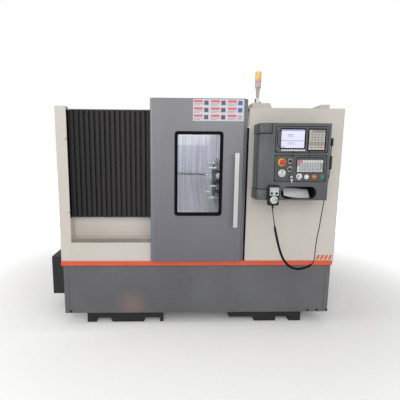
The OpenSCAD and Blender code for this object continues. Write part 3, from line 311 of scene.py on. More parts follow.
seal_x, seal_y = 0.4739, -0.609
seal_z = np.array([0.587, 1.705])[:, None]
seal_u = circle(24)
seal_grid = np.stack([seal_x + 0.007 * squared(np.cos(seal_u), 0.5) + 0 * seal_z,
                      seal_y + 0.021 * squared(np.sin(seal_u), 0.5) + 0 * seal_z,
                      seal_z + 0 * seal_u], -1)
# partly painted shade: the seal's black also fills in for the shade in the gap
seal = surface("door_seal_and_gap_shade", seal_grid, frame_rubber)
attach(seal, "machine")


# Cover edge: a flat black strip on the post's return, where the cover meets it.
# It is painted shade: a dark sheet laid where that corner beside the cover falls in shade.
edge_z = np.array([0.957, 1.841])[:, None]
edge_x = np.array([-0.9998, -0.9965, -0.9965, -0.9998])
edge_y = np.array([-0.6185, -0.6175, -0.56, -0.56])
edge_grid = np.stack([edge_x + 0 * edge_z, edge_y + 0 * edge_z, edge_z + 0 * edge_x], -1)
# painted shade: the black strip stands in for the shade on the post's return
strip = surface("cover_edge_painted_shade", edge_grid, frame_rubber)
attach(strip, "machine")


# Door handle: a sawn flat bar of aluminium on two turned posts, clear anodised.
# Screws from inside the door hold the posts.
aluminium = skin("clear_anodised_aluminium", "#d0d2d2", "#dcdedd", 0.32, 0.003, 0.00005, 0.15,
                 (1, 1, 0.05), Metallic=0.75)
dress(aluminium, 0.003, "door_handle")


# Door plate: a printed vinyl film with plain fields of colour, without words or signs.
# It is stuck to the door's upper right corner.
def printed(name, points, codes):
    """Thin film in loose quads, four points each in order, that stand out by 0.15 mm. The colour of
    each quad is kept in the ink attribute."""
    mesh = bpy.data.meshes.new(name)
    mesh.from_pydata(points.reshape(-1, 3).tolist(), [],
                     np.arange(points.size // 3).reshape(-1, 4).tolist())
    ink = mesh.color_attributes.new("ink", "FLOAT_COLOR", "CORNER")
    ink.data.foreach_set("color", np.repeat([lin(c) for c in codes], 4, 0).ravel())
    mesh.materials.append(film)
    piece = bpy.data.objects.new(name, mesh)
    bpy.context.scene.collection.objects.link(piece)
    layer = piece.modifiers.new("film", "SOLIDIFY")
    layer.thickness, layer.offset = 0.00015, -1.0
    return piece


def fields(name, rects, codes, y, lean=0.0):
    """Flat printed fields that face the operator: each row of rects (x0, x1, z0, z1) is one quad at
    depth y, with its top pushed sideways by lean."""
    r = np.asarray(rects, float)
    flat = np.stack([r[:, [0, 2]], r[:, [1, 2]], r[:, [1, 3]], r[:, [0, 3]]], 1)
    flat[:, 2:, 0] += lean
    deep = np.broadcast_to(np.reshape(y, (-1, 1)), (len(r), 4))
    return printed(name, np.stack([flat[..., 0], deep, flat[..., 1]], -1), codes)


film = shader("printed_vinyl_film")
inks = add(film, "ShaderNodeAttribute", {"attribute_name": "ink"})
film_place = add(film, "ShaderNodeTexCoord").outputs["Object"]
film_rub = add(film, "ShaderNodeTexNoise", {"Scale": 60.0}, Vector=film_place)
film_gloss = add(film, "ShaderNodeMapRange", {"To Min": 0.25, "To Max": 0.45},
                 Value=film_rub.outputs["Fac"])
add(film, "Principled BSDF", {"Specular IOR Level": 0.4},
    Base_Color=inks.outputs["Color"], Roughness=film_gloss.outputs["Result"])
col, row = (g.ravel() for g in np.meshgrid(np.arange(3), np.arange(3), indexing="ij"))
plate_x, plate_z = 0.017 + 0.1355 * col, 1.866 - 0.0555 * row
corner = np.stack([plate_x, plate_x, plate_z, plate_z], -1)
bands = corner + np.array([0.006, 0.076, 0.03, 0.047])
notes = corner + np.array([0.006, 0.076, 0.016, 0.0225])
small = corner + np.array([0.006, 0.056, 0.0055, 0.011])
blocks = corner + np.array([0.088, 0.122, 0.01, 0.044])
plate_rects = np.vstack([[[0.016, 0.424, 1.753, 1.921]], bands, notes, small, blocks])
plate_inks = (["#d0ccd6"] + ["#d66a63"] * 9 + ["#a9a4b2"] * 18
              + ["#5d5a63"] * 6 + ["#4666ac"] * 2 + ["#c6a6ab"])
plate_y = np.append([-0.66525], np.full(len(plate_rects) - 1, -0.66545))
plate = fields("door_plate_fields", plate_rects, plate_inks, plate_y)
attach(plate, "door")


# Operator panel: a folded steel box in textured grey paint, with two moulded plates let in.
# It swings on two fixed hinge blocks.
panel_paint = skin("textured_grey_paint", "#4d4f52", "#5a5c5f", 0.48, 0.003, 0.0003, 0.3)
dress(panel_paint, 0.0025, "panel_box", "panel_hinge_blocks")
bezel = skin("grey_moulded_abs", "#444649", "#4e5053", 0.45, 0.0015, 0.0002, 0.15)
dress(bezel, 0.001, "cnc_unit", "operator_plate")


PANEL_X, PANEL_WIDE = 0.585, 0.485
PANEL_Z, PANEL_TALL = 1.136, 0.591
# the front of both moulded plates
PLATE_Y = -0.827


def px(f):
    """A place across the panel, as a share of its width."""
    return PANEL_X + PANEL_WIDE * f


def pz(f):
    """A height on the panel, as a share of its height."""
    return PANEL_Z + PANEL_TALL * f


# Column seams: black sealant in the joint of the side and front sheets of the panel's column.
# The two fixed hinge caps carry the same joint, in line with it.
# the joint lies 86 degrees round the column from its front
column_at, column_r = np.array([0.585, -0.761]), 0.0638
seam_out, seam_side = np.array([-0.9976, -0.0698]), np.array([-0.0698, 0.9976])
seam_s = circle(12)[:, None]
seam_at = (column_at + (column_r + 0.0014 * np.cos(seam_s)) * seam_out
           - 0.004 * np.sin(seam_s) * seam_side)
for label, low, high, body in (("column_seam", 1.227, 1.644, "panel"),
                               ("low_cap_seam", 1.138, 1.216, "machine"),
                               ("top_cap_seam", 1.655, 1.725, "machine")):
    seam_grid = np.stack([np.column_stack([seam_at, np.full(12, z)]) for z in (low, high)])
    joint = surface(label, seam_grid, frame_rubber)
    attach(joint, body)


# Panel gaskets: extruded black rubber beads round the two plates, the screen and the keypads.
# They are pressed into the joints and stand a little proud.
def bead(name, at, grow, corner, wide, tall):
    """A closed bead on a round-cornered rectangle: the path p goes round four arcs, and the section
    is the half ellipse p + wide cos(t) n, tall sin(t) out of the plate, closed along its back."""
    x0, x1, z0, z1 = px(at[0]) - grow, px(at[1]) + grow, pz(at[2]) - grow, pz(at[3]) + grow
    turn = np.linspace(0, np.pi / 2, 7)
    arc = np.concatenate([turn + k * np.pi / 2 for k in range(4)])
    mid_x = np.repeat([x1 - corner, x0 + corner, x0 + corner, x1 - corner], 7)
    mid_z = np.repeat([z1 - corner, z1 - corner, z0 + corner, z0 + corner], 7)
    t = np.linspace(np.pi, 0, 7)
    reach = corner + wide * np.cos(t)
    grid = np.stack([mid_x[:, None] + reach * np.cos(arc)[:, None],
                     np.broadcast_to(PLATE_Y - tall * np.sin(t), (28, 7)),
                     mid_z[:, None] + reach * np.sin(arc)[:, None]], -1)
    ring = surface(name, grid, frame_rubber, (True, True), False)
    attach(ring, "panel")


bead("cnc_unit_gasket", (0.113, 0.955, 0.624, 0.958), 0.0, 0.012, 0.0018, 0.0012)
bead("operator_plate_gasket", (0.12, 0.953, 0.249, 0.592), 0.0, 0.012, 0.0018, 0.0012)
bead("screen_gasket", (0.204, 0.575, 0.684, 0.917), 0.005, 0.006, 0.0046, 0.0012)
bead("mdi_gasket", (0.643, 0.901, 0.66, 0.917), 0.005, 0.005, 0.0042, 0.0014)
bead("keypad_gasket", (0.47, 0.908, 0.366, 0.56), 0.0, 0.005, 0.0026, 0.0014)
bead("card_lid_gasket", (0.146, 0.194, 0.711, 0.895), 0.0014, 0.004, 0.0024, 0.0012)


# Screen: a backlit liquid crystal display under glass, set in the CNC unit.
# It shows plain pale fields and bars, with soft keys of white plastic below.
screen = skin("liquid_crystal_display", "#ced0ea", "#d8daf0", 0.2, 0.01, 0.00001, 0.2)
add(screen, "Principled BSDF",
    {"Emission Color": lin("#cfd0ee"), "Emission Strength": 0.16})
dress(screen, 0, "lcd_screen")
sx0, sx1, sz0, sz1 = px(0.204), px(0.575), pz(0.684), pz(0.917)
rows = np.array([0.6, 0.66, 0.72, 0.2, 0.27])
lines = np.stack([sx0 + 0.05 + 0 * rows, sx0 + np.array([0.1, 0.085, 0.095, 0.12, 0.105]),
                  sz0 + rows * (sz1 - sz0), sz0 + (rows + 0.022) * (sz1 - sz0)], -1)
bars = np.array([[sx0 + 0.002, sx1 - 0.002, sz1 - 0.01, sz1 - 0.002],
                 [sx0 + 0.004, sx1 - 0.004, sz0 + 0.052, sz0 + 0.0555],
                 [sx0 + 0.004, sx0 + 0.03, sz0 + 0.003, sz0 + 0.012]])
display = fields("screen_fields", np.vstack([bars, lines]),
                 ["#9c9fc6", "#6f7396", "#a9acd0"] + ["#8286ac"] * 5, PLATE_Y + 0.0008)
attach(display, "panel")
soft_row, soft_gap = px(0.594) - px(0.208), 0.002
soft_x = px(0.208) + (np.arange(10) / 10) * soft_row
soft_rects = np.stack([soft_x + soft_gap, soft_x + soft_row / 10 - soft_gap,
                       np.full(10, pz(0.644) + soft_gap), np.full(10, pz(0.667) - soft_gap)], -1)
soft = fields("soft_key_caps", soft_rects, ["#e9e9e6"] * 10, PLATE_Y - 0.0022)
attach(soft, "panel")


# Keypads: moulded key mats in warm and cool grey under a printed film.
# Each key carries one plain field and a short mark.
key_beige = skin("beige_key_plastic", "#817f78", "#8c8a83", 0.5, 0.001, 0.0001, 0.1)
key_grey = skin("light_grey_key_plastic", "#838587", "#8f9193", 0.45, 0.001, 0.0001, 0.1)
dress(key_beige, 0.0006, "mdi_keypad")
dress(key_grey, 0.0006, "operator_keypad")


def key_caps(name, at, cols, rows, codes, marks):
    """Printed caps on a grid of keys: one field per key, and a short plain mark on each."""
    i, j = np.meshgrid(np.arange(cols), np.arange(rows), indexing="ij")
    wide, tall = (px(at[1]) - px(at[0])) / cols, (pz(at[3]) - pz(at[2])) / rows
    x, z = px(at[0]) + i.ravel() * wide, pz(at[2]) + j.ravel() * tall
    gap = 0.0022
    caps = np.stack([x + gap, x + wide - gap, z + gap, z + tall - gap], -1)
    mark = np.stack([x + 0.32 * wide, x + 0.68 * wide, z + 0.45 * tall, z + 0.56 * tall], -1)
    depth = np.repeat([PLATE_Y - 0.00268, PLATE_Y - 0.00285], cols * rows)
    piece = fields(name, np.vstack([caps, mark]), list(codes) + list(marks), depth)
    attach(piece, "panel")


mdi_inks = np.full((5, 8), "#bfbcb3")
mdi_inks[:, 0] = "#cbc8c1"
mdi_inks[:, 2] = "#a3a19a"
mdi_inks[3:, 1] = "#c8b1a8"
mdi_inks[1:, 7] = "#8b8983"
key_caps("mdi_key_caps", (0.643, 0.901, 0.66, 0.917), 5, 8, mdi_inks.ravel(), ["#6e6c66"] * 40)
machine_inks = np.full((10, 4), "#bfc1c1")
machine_inks[:2, 3] = "#cf7f8d"
machine_inks[0, 2] = "#cf7f8d"
machine_inks[2:, 3] = "#dcdcda"
machine_inks[9, 0] = "#cfc593"
machine_inks[9, 1:3] = "#93a595"
machine_inks[0, :2] = "#e0e1e0"
key_caps("machine_key_caps", (0.478, 0.897, 0.371, 0.531), 10, 4, machine_inks.ravel(),
         ["#7a7d7e"] * 40)


# Emergency stop: a glossy red mushroom head, moulded in ABS, that latches when pressed.
# Its yellow ring is clamped to the plate.
stop_at = (px(0.231), PLATE_Y, pz(0.499))
yellow = skin("yellow_abs", "#e3b52a", "#e8bd3a", 0.35, 0.001, 0.00005, 0.05)
ring = turned("estop_ring", [(0.0118, 0), (0.0303, 0), (0.0303, 0.004), (0.0288, 0.0052),
                             (0.0118, 0.0052)], stop_at, yellow)
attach(ring, "panel")
red = skin("gloss_red_abs", "#bf261f", "#c8332a", 0.22, 0.001, 0.00003, 0.05)
head = turned("estop_head", [(0.003, -0.007), (0.0108, -0.007), (0.0108, 0.0155), (0.019, 0.016),
                             (0.0214, 0.019), (0.022, 0.0235), (0.0206, 0.0275), (0.0165, 0.03),
                             (0.0095, 0.0309), (0.001, 0.031)], stop_at, red)
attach(head, "estop")
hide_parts("estop_button")


# Panel handwheel: a turned aluminium pulse wheel with a knurled rim and engraved marks.
# A black finger knob is screwed into its face.
wheel_at = np.array([px(0.231), PLATE_Y, pz(0.357)])
wheel = turned("handwheel_rim", [(0.004, -0.007), (0.005, -0.007), (0.005, 0.0045), (0.0283, 0.0045),
                                 (0.0296, 0.006), (0.0296, 0.0165), (0.028, 0.018),
                                 (0.0225, 0.0182), (0.022, 0.0215), (0.0206, 0.0222),
                                 (0.006, 0.0218), (0.001, 0.0218)],
               wheel_at, aluminium, steps=120, lobes=30, lobe=0.012)
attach(wheel, "handwheel")
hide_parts("panel_handwheel")
black_abs = skin("satin_black_abs", "#0f1011", "#18191b", 0.38, 0.001, 0.0001, 0.05,
                 **{"Specular IOR Level": 0.35})
finger = turned("handwheel_finger", [(0.001, 0.021), (0.0045, 0.0215), (0.0032, 0.026),
                                     (0.0048, 0.034), (0.0042, 0.0385), (0.001, 0.0398)],
                wheel_at + [0, 0, 0.016], black_abs, steps=24)
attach(finger, "handwheel")


def ticks(name, centre, r0, r1, angles, wide, code, body):
    """Graduation marks round an axis that points at the operator: one slim quad per angle, from
    radius r0 to r1, laid on the surface at the centre's depth."""
    a = np.radians(angles)[:, None]
    r = np.array([[r0, r0, r1, r1]])
    side = np.array([[-wide, wide, wide, -wide]]) / 2
    points = np.stack([r * np.sin(a) + side * np.cos(a), 0 * r + 0 * a,
                       r * np.cos(a) - side * np.sin(a)], -1) + np.array(centre)
    piece = printed(name, points, [code] * len(angles))
    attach(piece, body)


ticks("handwheel_marks", wheel_at - [0, 0.0224, 0], 0.0175, 0.0205, np.arange(0, 360, 9), 0.0006,
      "#3a3b3c", "handwheel")
ticks("handwheel_scale", wheel_at - [0, 0.0222, 0], 0.0065, 0.0115, np.arange(0, 360, 30), 0.002,
      "#8b8d8f", "handwheel")


# Override knobs: fluted black knobs of moulded ABS, each with a white pointer.
# Engraved silver dial plates lie under them.
for label, spot in (("feed", 0.516), ("speed", 0.411)):
    centre = np.array([px(0.365), PLATE_Y, pz(spot)])
    dial = turned(label + "_dial_plate", [(0.0056, 0), (0.0192, 0), (0.0192, 0.001),
                                          (0.0056, 0.001)], centre, aluminium)
    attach(dial, "panel")
    ticks(label + "_dial_marks", centre - [0, 0.0012, 0], 0.0158, 0.0184,
          np.arange(-135, 136, 22.5), 0.0008, "#2b2c2d", "panel")
    cap = turned(label + "_knob_cap", [(0.003, -0.007), (0.005, -0.007), (0.005, 0.0022),
                                       (0.0142, 0.0026), (0.0136, 0.015), (0.0122, 0.0185),
                                       (0.0085, 0.0198), (0.001, 0.0199)],
                 centre, black_abs, steps=72, lobes=12, lobe=0.05)
    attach(cap, label)
    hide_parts(label + "_knob")
    ticks(label + "_pointer", centre - [0, 0.0201, 0], 0.002, 0.0078, [0.0], 0.002, "#e8e8e4", label)


# Key switch and selector: a plated lock with its key and a spare on a wire hoop.
# The lever selector beside it stands on a white shield plate.
dress(ground_steel, 0.0006, "key_switch")
dress(aluminium, 0.001, "mode_selector")
# the lowest row of controls
LOW_Z = pz(0.311)
# the hoop is a ring of wire, pressed to 0.6 of its width
hoop_x, hoop_y, hoop_r, wire_r = px(0.377) + 0.004, PLATE_Y - 0.0275, 0.008, 0.0011
ring_u = circle(48)
wire_u = circle(16)
wire_out = hoop_r + wire_r * np.cos(wire_u)
hoop_grid = np.stack([hoop_x + wire_out * np.sin(ring_u)[:, None] * 0.6,
                      hoop_y - wire_r * np.sin(wire_u) + 0 * ring_u[:, None],
                      LOW_Z - 0.011 + wire_out * np.cos(ring_u)[:, None]], -1)
hoop = surface("key_hoop", hoop_grid, ground_steel, (True, True), False)
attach(hoop, "key")
# a spare key of flat stamped brass, plated, that hangs in the hoop: half width along its length
spare_z = np.array([0.0, 0.001, 0.003, 0.008, 0.012, 0.0145, 0.016, 0.028, 0.0305, 0.031])
spare_w = np.array([0.002, 0.006, 0.0085, 0.009, 0.0075, 0.004, 0.0035, 0.0035, 0.0012, 0.0004])
sides = np.array([[-1, -1], [1, -1], [1, 1], [-1, 1]])
spare = np.stack([hoop_x + spare_w[:, None] * sides[:, 0],
                  hoop_y + 0.001 * sides[:, 1] + 0 * spare_z[:, None],
                  LOW_Z - 0.0165 - spare_z[:, None] + 0 * sides[:, 0]], -1)
spare_key = surface("spare_key", spare[::-1], ground_steel)
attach(spare_key, "key")
white_abs = skin("gloss_white_abs", "#dcdddb", "#e6e6e4", 0.3, 0.001, 0.00004, 0.05)
# the shield's half width shrinks below its middle to a point, and its shoulders are drawn square
sin_u, cos_u = np.sin(ring_u), np.cos(ring_u)
shield_w = 0.0225 * np.clip(1.0 - np.maximum(0, -cos_u) ** 1.6 * 0.86, 0, 1)
shield_x = sin_u * shield_w / np.maximum(np.abs(sin_u), np.abs(cos_u)) ** 0.4
shield = np.stack([shield_x, np.zeros(48), cos_u * 0.0255], -1)
shield_at = np.array([px(0.522), PLATE_Y, LOW_Z])
scales = np.array([0.58, 1.0, 1.0, 0.58])[:, None, None]
lifts = np.array([-0.0014, -0.0014, -0.0002, -0.0002])[:, None, None] * np.array([0, 1, 0])
legend = surface("selector_shield", shield_at + shield * scales + lifts, white_abs, (True, True), False)
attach(legend, "panel")


# Push buttons: domed lenses of tinted ABS that press into collars of the same colour.
# The collars are screwed through the plate.
orange_abs = skin("gloss_orange_abs", "#cb6a34", "#d47b4a", 0.25, 0.001, 0.00004, 0.05)
green_abs = skin("gloss_green_abs", "#1f7561", "#2d8672", 0.25, 0.001, 0.00004, 0.05)
for label, spot, lens in (("white", 0.641, white_abs), ("orange", 0.765, orange_abs),
                          ("green", 0.891, green_abs)):
    centre = (px(spot), PLATE_Y, LOW_Z)
    collar = turned(label + "_button_collar", [(0.0144, 0.0), (0.0178, 0.0), (0.0178, 0.0035),
                                               (0.0166, 0.0049), (0.0149, 0.0049),
                                               (0.0144, 0.0042)], centre, lens)
    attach(collar, "panel")
    dome = turned(label + "_button_lens", [(0.002, -0.007), (0.0138, -0.007), (0.0139, 0.006),
                                           (0.0132, 0.0078), (0.011, 0.0087), (0.006, 0.009),
                                           (0.001, 0.0091)], centre, lens)
    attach(dome, label)
    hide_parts("button_" + label)


# Panel screws: black oxide socket heads along the joint of the two panel plates, and two more at
# the lower corners of the operator plate. They go through the plates into the folded box.
oxide = skin("black_oxide_steel", "#0c0c0d", "#141415", 0.5, 0.001, 0.00005, 0.03,
             **{"Specular IOR Level": 0.25})


def heads(name, profile, places, body, axis=FRONT, steps=18):
    """A set of equal heads: the same turned profile at each place, numbered from 1."""
    for i, place in enumerate(places):
        screw = turned(f"{name}_{i + 1}", profile, place, oxide, axis, steps)
        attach(screw, body)


screw_x = px(np.array([0.13, 0.394, 0.665, 0.937] * 2 + [0.132, 0.941]))
screw_z = pz(np.repeat([0.634, 0.583, 0.266], [4, 4, 2]))
heads("panel_screw", [(0.0015, -0.0005), (0.0056, -0.0005), (0.0056, 0.0018), (0.0048, 0.003),
                      (0.0026, 0.003), (0.0026, 0.001), (0.0004, 0.001)],
      [(x, PLATE_Y, z) for x, z in zip(screw_x, screw_z)], "panel")


# Document tray: a vacuum-formed tray of black polystyrene, pressed into the panel's pocket.
# It lines the back and the round-ended wall with a sheet of 1 mm.
pocket_x, pocket_z, pocket_half, pocket_r = 0.8435, 1.1951, 0.0915, 0.049
tray_turn = circle(64)[None, :]
tray_in = np.array([0.047, 0.0004, 0.0004, 0.0014, 0.0014, 0.047])[:, None]
tray_y = np.array([-0.7052, -0.7052, -0.824, -0.824, -0.7062, -0.7062])[:, None]
tray_r = pocket_r - tray_in
tray_mid = pocket_x + pocket_half * np.sign(np.cos(tray_turn))
tray = np.stack([tray_mid + tray_r * np.cos(tray_turn), tray_y + 0 * tray_turn,
                 pocket_z + tray_r * np.sin(tray_turn)], -1)
lining = surface("document_tray", tray[:, ::-1], black_abs, (True, True), False)
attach(lining, "panel")


# Booklet: a stapled manual of coated paper, bowed as it leans in the panel's pocket.
# It only stands there and can be taken out.
paper = skin("coated_paper", "#d5d2d3", "#e6e3e2", 0.6, 0.01, 0.0003, 0.03, (0.4, 1, 3))
# the sheets lean back by book_lean, bow in two waves and lift at the left of their lower edge
book_x, book_y, book_z = 0.75, -0.722, 1.1482
book_wide, book_tall, book_thick, book_lean = 0.208, 0.085, 0.012, 0.042
across = np.linspace(0, 1, 40)[:, None]
edge = np.linspace(0, 1, 24, endpoint=False)[None, :] * 4
front_back = np.interp(edge, [0, 1, 2, 3, 4], [0, 0, 1, 1, 0])
low_high = np.interp(edge, [0, 1, 2, 3, 4], [0, 1, 1, 0, 0])
bow = 0.006 * np.sin(np.pi * across) + 0.0025 * np.sin(3 * np.pi * across)
foot = 0.018 * (1 - across) ** 3
rise = book_tall - foot - 0.02 * across - 0.5 * bow
pages = np.stack([book_x + book_wide * across - 0.006 * low_high,
                  book_y - book_lean * (1 - low_high) - 0.5 * bow + book_thick * front_back,
                  book_z + foot + rise * low_high], -1)
booklet = surface("stapled_booklet", pages[:, ::-1], paper)
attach(booklet, "panel")
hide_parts("manual")


# Pendant: a moulded ABS hand box with a silver face, two selector knobs and a pulse dial.
# A steel hanger hooks it on the panel's lower left corner.
PEND = np.array([0.635, -0.8505, 1.098])
FACE_Y = -0.872
turn = circle(64)[None, :]
up = np.array([0, 0.001, 0.005, 0.012, 0.03, 0.08, 0.128, 0.146, 0.153, 0.157, 0.158])[:, None]
inset = np.interp(up, [0, 0.001, 0.005, 0.012, 0.146, 0.153, 0.157, 0.158],
                  [0.0105, 0.0072, 0.003, 0, 0, 0.003, 0.0072, 0.0105])
hand_box = np.stack([PEND[0] + (0.044 - inset) * squared(np.cos(turn), 0.35),
                     PEND[1] + (0.0214 - inset * 0.7) * squared(np.sin(turn), 0.35),
                     PEND[2] + up + 0 * turn], -1)
pendant = surface("pendant_box", hand_box, black_abs)
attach(pendant, "panel")
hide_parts("pendant_body")
hang_x = np.array([-0.021, 0.021, 0.021, -0.021])
hang_y = np.array([0.0205, 0.0205, 0.0255, 0.0255])
hang_z = np.array([0.088, 0.09, 0.142, 0.144])[:, None]
shrink = np.array([0.92, 1, 1, 0.92])[:, None]
hang_grid = np.stack([PEND[0] + 0.011 + hang_x * shrink, PEND[1] + hang_y + 0 * hang_z,
                      PEND[2] + hang_z + 0 * hang_x], -1)
hanger = surface("pendant_hanger", hang_grid, black_steel)
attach(hanger, "panel")
gland = turned("pendant_gland", [(0.0037, -0.03), (0.0052, -0.03), (0.0064, -0.018),
                                 (0.0086, -0.0155), (0.009, -0.003), (0.009, 0.001),
                                 (0.0037, 0.001)], PEND, black_abs, UP, 32)
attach(gland, "panel")
face = np.array([[-0.033, 0.036, 0.079, 0.14]]) + np.array([PEND[0], PEND[0], PEND[2], PEND[2]])
labels = np.stack([PEND[0] + np.array([-0.03, 0.008, -0.03]),
                   PEND[0] + np.array([-0.008, 0.03, 0.03]),
                   PEND[2] + np.array([0.118, 0.118, 0.129]),
                   PEND[2] + np.array([0.122, 0.122, 0.134])], -1)
face_print = fields("pendant_face", np.vstack([face, labels]), ["#c9cacb"] + ["#8d8f92"] * 3,
                    FACE_Y - np.array([0.00005, 0.00025, 0.00025, 0.00025]))
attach(face_print, "panel")
for i, side in enumerate((-0.019, 0.019)):
    knob = turned(f"pendant_knob_{i + 1}", [(0.002, 0.0), (0.0092, 0.0), (0.0088, 0.008),
                                            (0.0072, 0.0115), (0.001, 0.012)],
                  (PEND[0] + side, FACE_Y - 0.0002, PEND[2] + 0.096), black_abs, steps=48,
                  lobes=8, lobe=0.06)
    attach(knob, "panel")
dial_at = np.array([PEND[0], FACE_Y, 1.144])
dial = turned("pendant_dial_wheel", [(0.004, -0.009), (0.005, -0.009), (0.005, 0.003),
                                     (0.0288, 0.0032), (0.03, 0.0045), (0.0298, 0.0105),
                                     (0.028, 0.0126), (0.023, 0.0128), (0.022, 0.0112),
                                     (0.008, 0.0112), (0.001, 0.0112)],
              dial_at, aluminium, steps=120, lobes=30, lobe=0.012)
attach(dial, "dial")
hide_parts("pendant_dial")
ticks("pendant_dial_marks", dial_at - [0, 0.0129, 0], 0.0235, 0.027, np.arange(0, 360, 9),
      0.0006, "#3a3b3c", "dial")
ticks("pendant_dial_scale", dial_at - [0, 0.0114, 0], 0.0075, 0.012, np.arange(0, 360, 30),
      0.0026, "#77797b", "dial")
crank = turned("pendant_dial_finger", [(0.001, 0.011), (0.0052, 0.0115), (0.0056, 0.0185),
                                       (0.004, 0.0197), (0.001, 0.0199)],
               dial_at + [0.018, 0, 0], black_abs, steps=24)
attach(crank, "dial")


# Pendant cord: 7 mm polyurethane cable, curled over its lower stretch, from gland to plug.
# It hangs in one bow below the panel; each turn of the curl lies beside the next.
cord_wide, curl_r, curl_pitch = 0.007, 0.0065, 0.0076
plug_across, plug_back = 0.481, 0.1105
# columns: shares of the way across and back from gland to plug, height, share of curl;
# heights count from the pendant's foot P0 and the panel's lower edge P1
P0, P1 = PEND[2], PANEL_Z
route = np.array([
    [0, 0, P0, 0], [0, 0, P0 - 0.02, 0], [0.015, 0, P0 - 0.075, 0],
    [0.04, 0.01, P0 - 0.14, 0], [0.06, 0.03, P0 - 0.188, 1], [0.1, 0.07, P0 - 0.262, 1],
    [0.15, 0.13, P0 - 0.342, 1], [0.21, 0.2, P0 - 0.414, 1], [0.28, 0.25, P0 - 0.468, 1],
    [0.37, 0.31, P0 - 0.507, 1], [0.49, 0.38, P0 - 0.529, 1], [0.62, 0.47, P0 - 0.525, 1],
    [0.73, 0.56, P0 - 0.508, 1], [0.79, 0.64, P0 - 0.484, 0], [0.815, 0.67, P0 - 0.442, 0],
    [0.82, 0.7, P0 - 0.388, 0], [0.83, 0.73, P0 - 0.324, 0], [0.85, 0.76, P0 - 0.255, 0],
    [0.875, 0.8, P0 - 0.185, 0], [0.895, 0.84, P0 - 0.107, 0], [0.915, 0.87, P0 - 0.033, 0],
    [0.935, 0.91, P1 - 0.006, 0], [0.96, 0.95, P1 + 0.075, 0], [0.98, 0.98, P1 + 0.148, 0],
    [1, 1, P1 + 0.22, 0], [1, 1, P1 + 0.345, 0], [1, 1, P1 + 0.4345, 0]])
knots = route * np.array([plug_across, plug_back, 1, 1]) + np.array([PEND[0], PEND[1], 0, 0])
# a cubic joins each pair of knots; its slope at a knot is half the step between the neighbours
ext = np.vstack([knots[:1], knots, knots[-1:]])
s = np.linspace(0, 1, 40, endpoint=False)[None, :, None]
a, b, c, d = (ext[i:len(ext) - 3 + i, None, :] for i in range(4))
smooth = 0.5 * (2 * b + (c - a) * s + (2 * a - 5 * b + 4 * c - d) * s ** 2
                + (3 * b - a - 3 * c + d) * s ** 3)
smooth = np.vstack([smooth.reshape(-1, 4), knots[-1:]])
run = np.concatenate([[0], np.cumsum(np.linalg.norm(np.diff(smooth[:, :3], axis=0), axis=1))])
fine = np.linspace(0, run[-1], 4000)
axis_line = np.stack([np.interp(fine, run, smooth[:, i]) for i in range(3)], -1)
curl = np.clip(np.interp(fine, run, smooth[:, 3]), 0, 1)
curl = curl * curl * (3 - 2 * curl)
along = np.gradient(axis_line, axis=0)
along /= np.linalg.norm(along, axis=1, keepdims=True)
side = np.cross(along, [0.0, 1.0, 0.0])
side /= np.linalg.norm(side, axis=1, keepdims=True)
# the cable winds round that line, one turn per pitch, as far out as the share of curl says
phase = np.concatenate([[0], np.cumsum(curl[1:] * np.diff(fine))]) * 2 * np.pi / curl_pitch
coil = axis_line + curl_r * curl[:, None] * (np.cos(phase)[:, None] * side
                                             + np.sin(phase)[:, None] * np.cross(along, side))
cable = bpy.data.curves.new("pendant_cable", "CURVE")
cable.dimensions, cable.bevel_depth, cable.bevel_resolution = "3D", cord_wide / 2, 2
cable.use_fill_caps = True
# the straight stretches need only every twentieth point
count = np.arange(len(fine))
keep = np.flatnonzero((curl > 0.02) | (count % 20 == 0) | (count == count[-1]))
spline = cable.splines.new("POLY")
spline.points.add(len(keep) - 1)
spline.points.foreach_set("co", np.column_stack([coil[keep], np.ones(len(keep))]).ravel())
cord_rubber = skin("black_polyurethane_cable", "#080809", "#0f0f10", 0.5, 0.002, 0.0001, 0.05,
                   **{"Specular IOR Level": 0.2})
cable.materials.append(cord_rubber)
cord = bpy.data.objects.new("pendant_cable", cable)
bpy.context.scene.collection.objects.link(cord)
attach(cord, "panel")
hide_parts("pendant_cord")
dress(black_abs, 0.0015, "cord_plug")


# Tower light: a stack of tinted acrylic lenses on a painted tapering stem.
# A moulded white foot clamps the stem, and two bolts hold it on the left roof box.
stem_grey = skin("grey_enamel", "#b0a8a4", "#bdb5b1", 0.4, 0.003, 0.0001, 0.1)
dress(stem_grey, 0.001, "tower_stand")
for node, low, high in (("amber", "#efbd63", "#f6cf84"), ("red", "#d09d98", "#dbaea8"),
                        ("clear", "#bdb0b5", "#cbc0c4")):
    lens = skin(node + "_acrylic_lens", low, high, 0.16, 0.004, 0.0002, 0.05)
    dress(lens, 0.001, "tower_lens_" + node)
foot_at = np.array([0.589, -0.42, 1.934])
clamp = turned("tower_foot", [(0.002, 0), (0.0155, 0), (0.0155, 0.028), (0.014, 0.036),
                              (0.0124, 0.039)], foot_at, white_abs, UP, 32)
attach(clamp, "machine")
for i, (offset, tall) in enumerate(((-0.0195, 0.034), (0.026, 0.01))):
    bolt = turned(f"tower_bolt_{i + 1}", [(0.001, -0.001), (0.004, -0.001), (0.004, tall - 0.001),
                                          (0.0032, tall), (0.0005, tall)],
                  foot_at + [offset, 0, 0], oxide, UP, 18)
    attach(bolt, "machine")


# Front print: four slanted stripes of orange vinyl film, cut and stuck on.
# They lie on the cream sheet at its lower right corner.
CABINET_Y = -0.62
stripe_x = 1.105 + 0.036 * np.arange(4)
stripe_rects = np.stack([stripe_x, stripe_x + 0.022, np.full(4, 0.593), np.full(4, 0.633)], -1)
stripes = fields("slanted_stripes", stripe_rects, ["#d9623f"] * 4, CABINET_Y - 0.0004, lean=0.018)
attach(stripes, "machine")


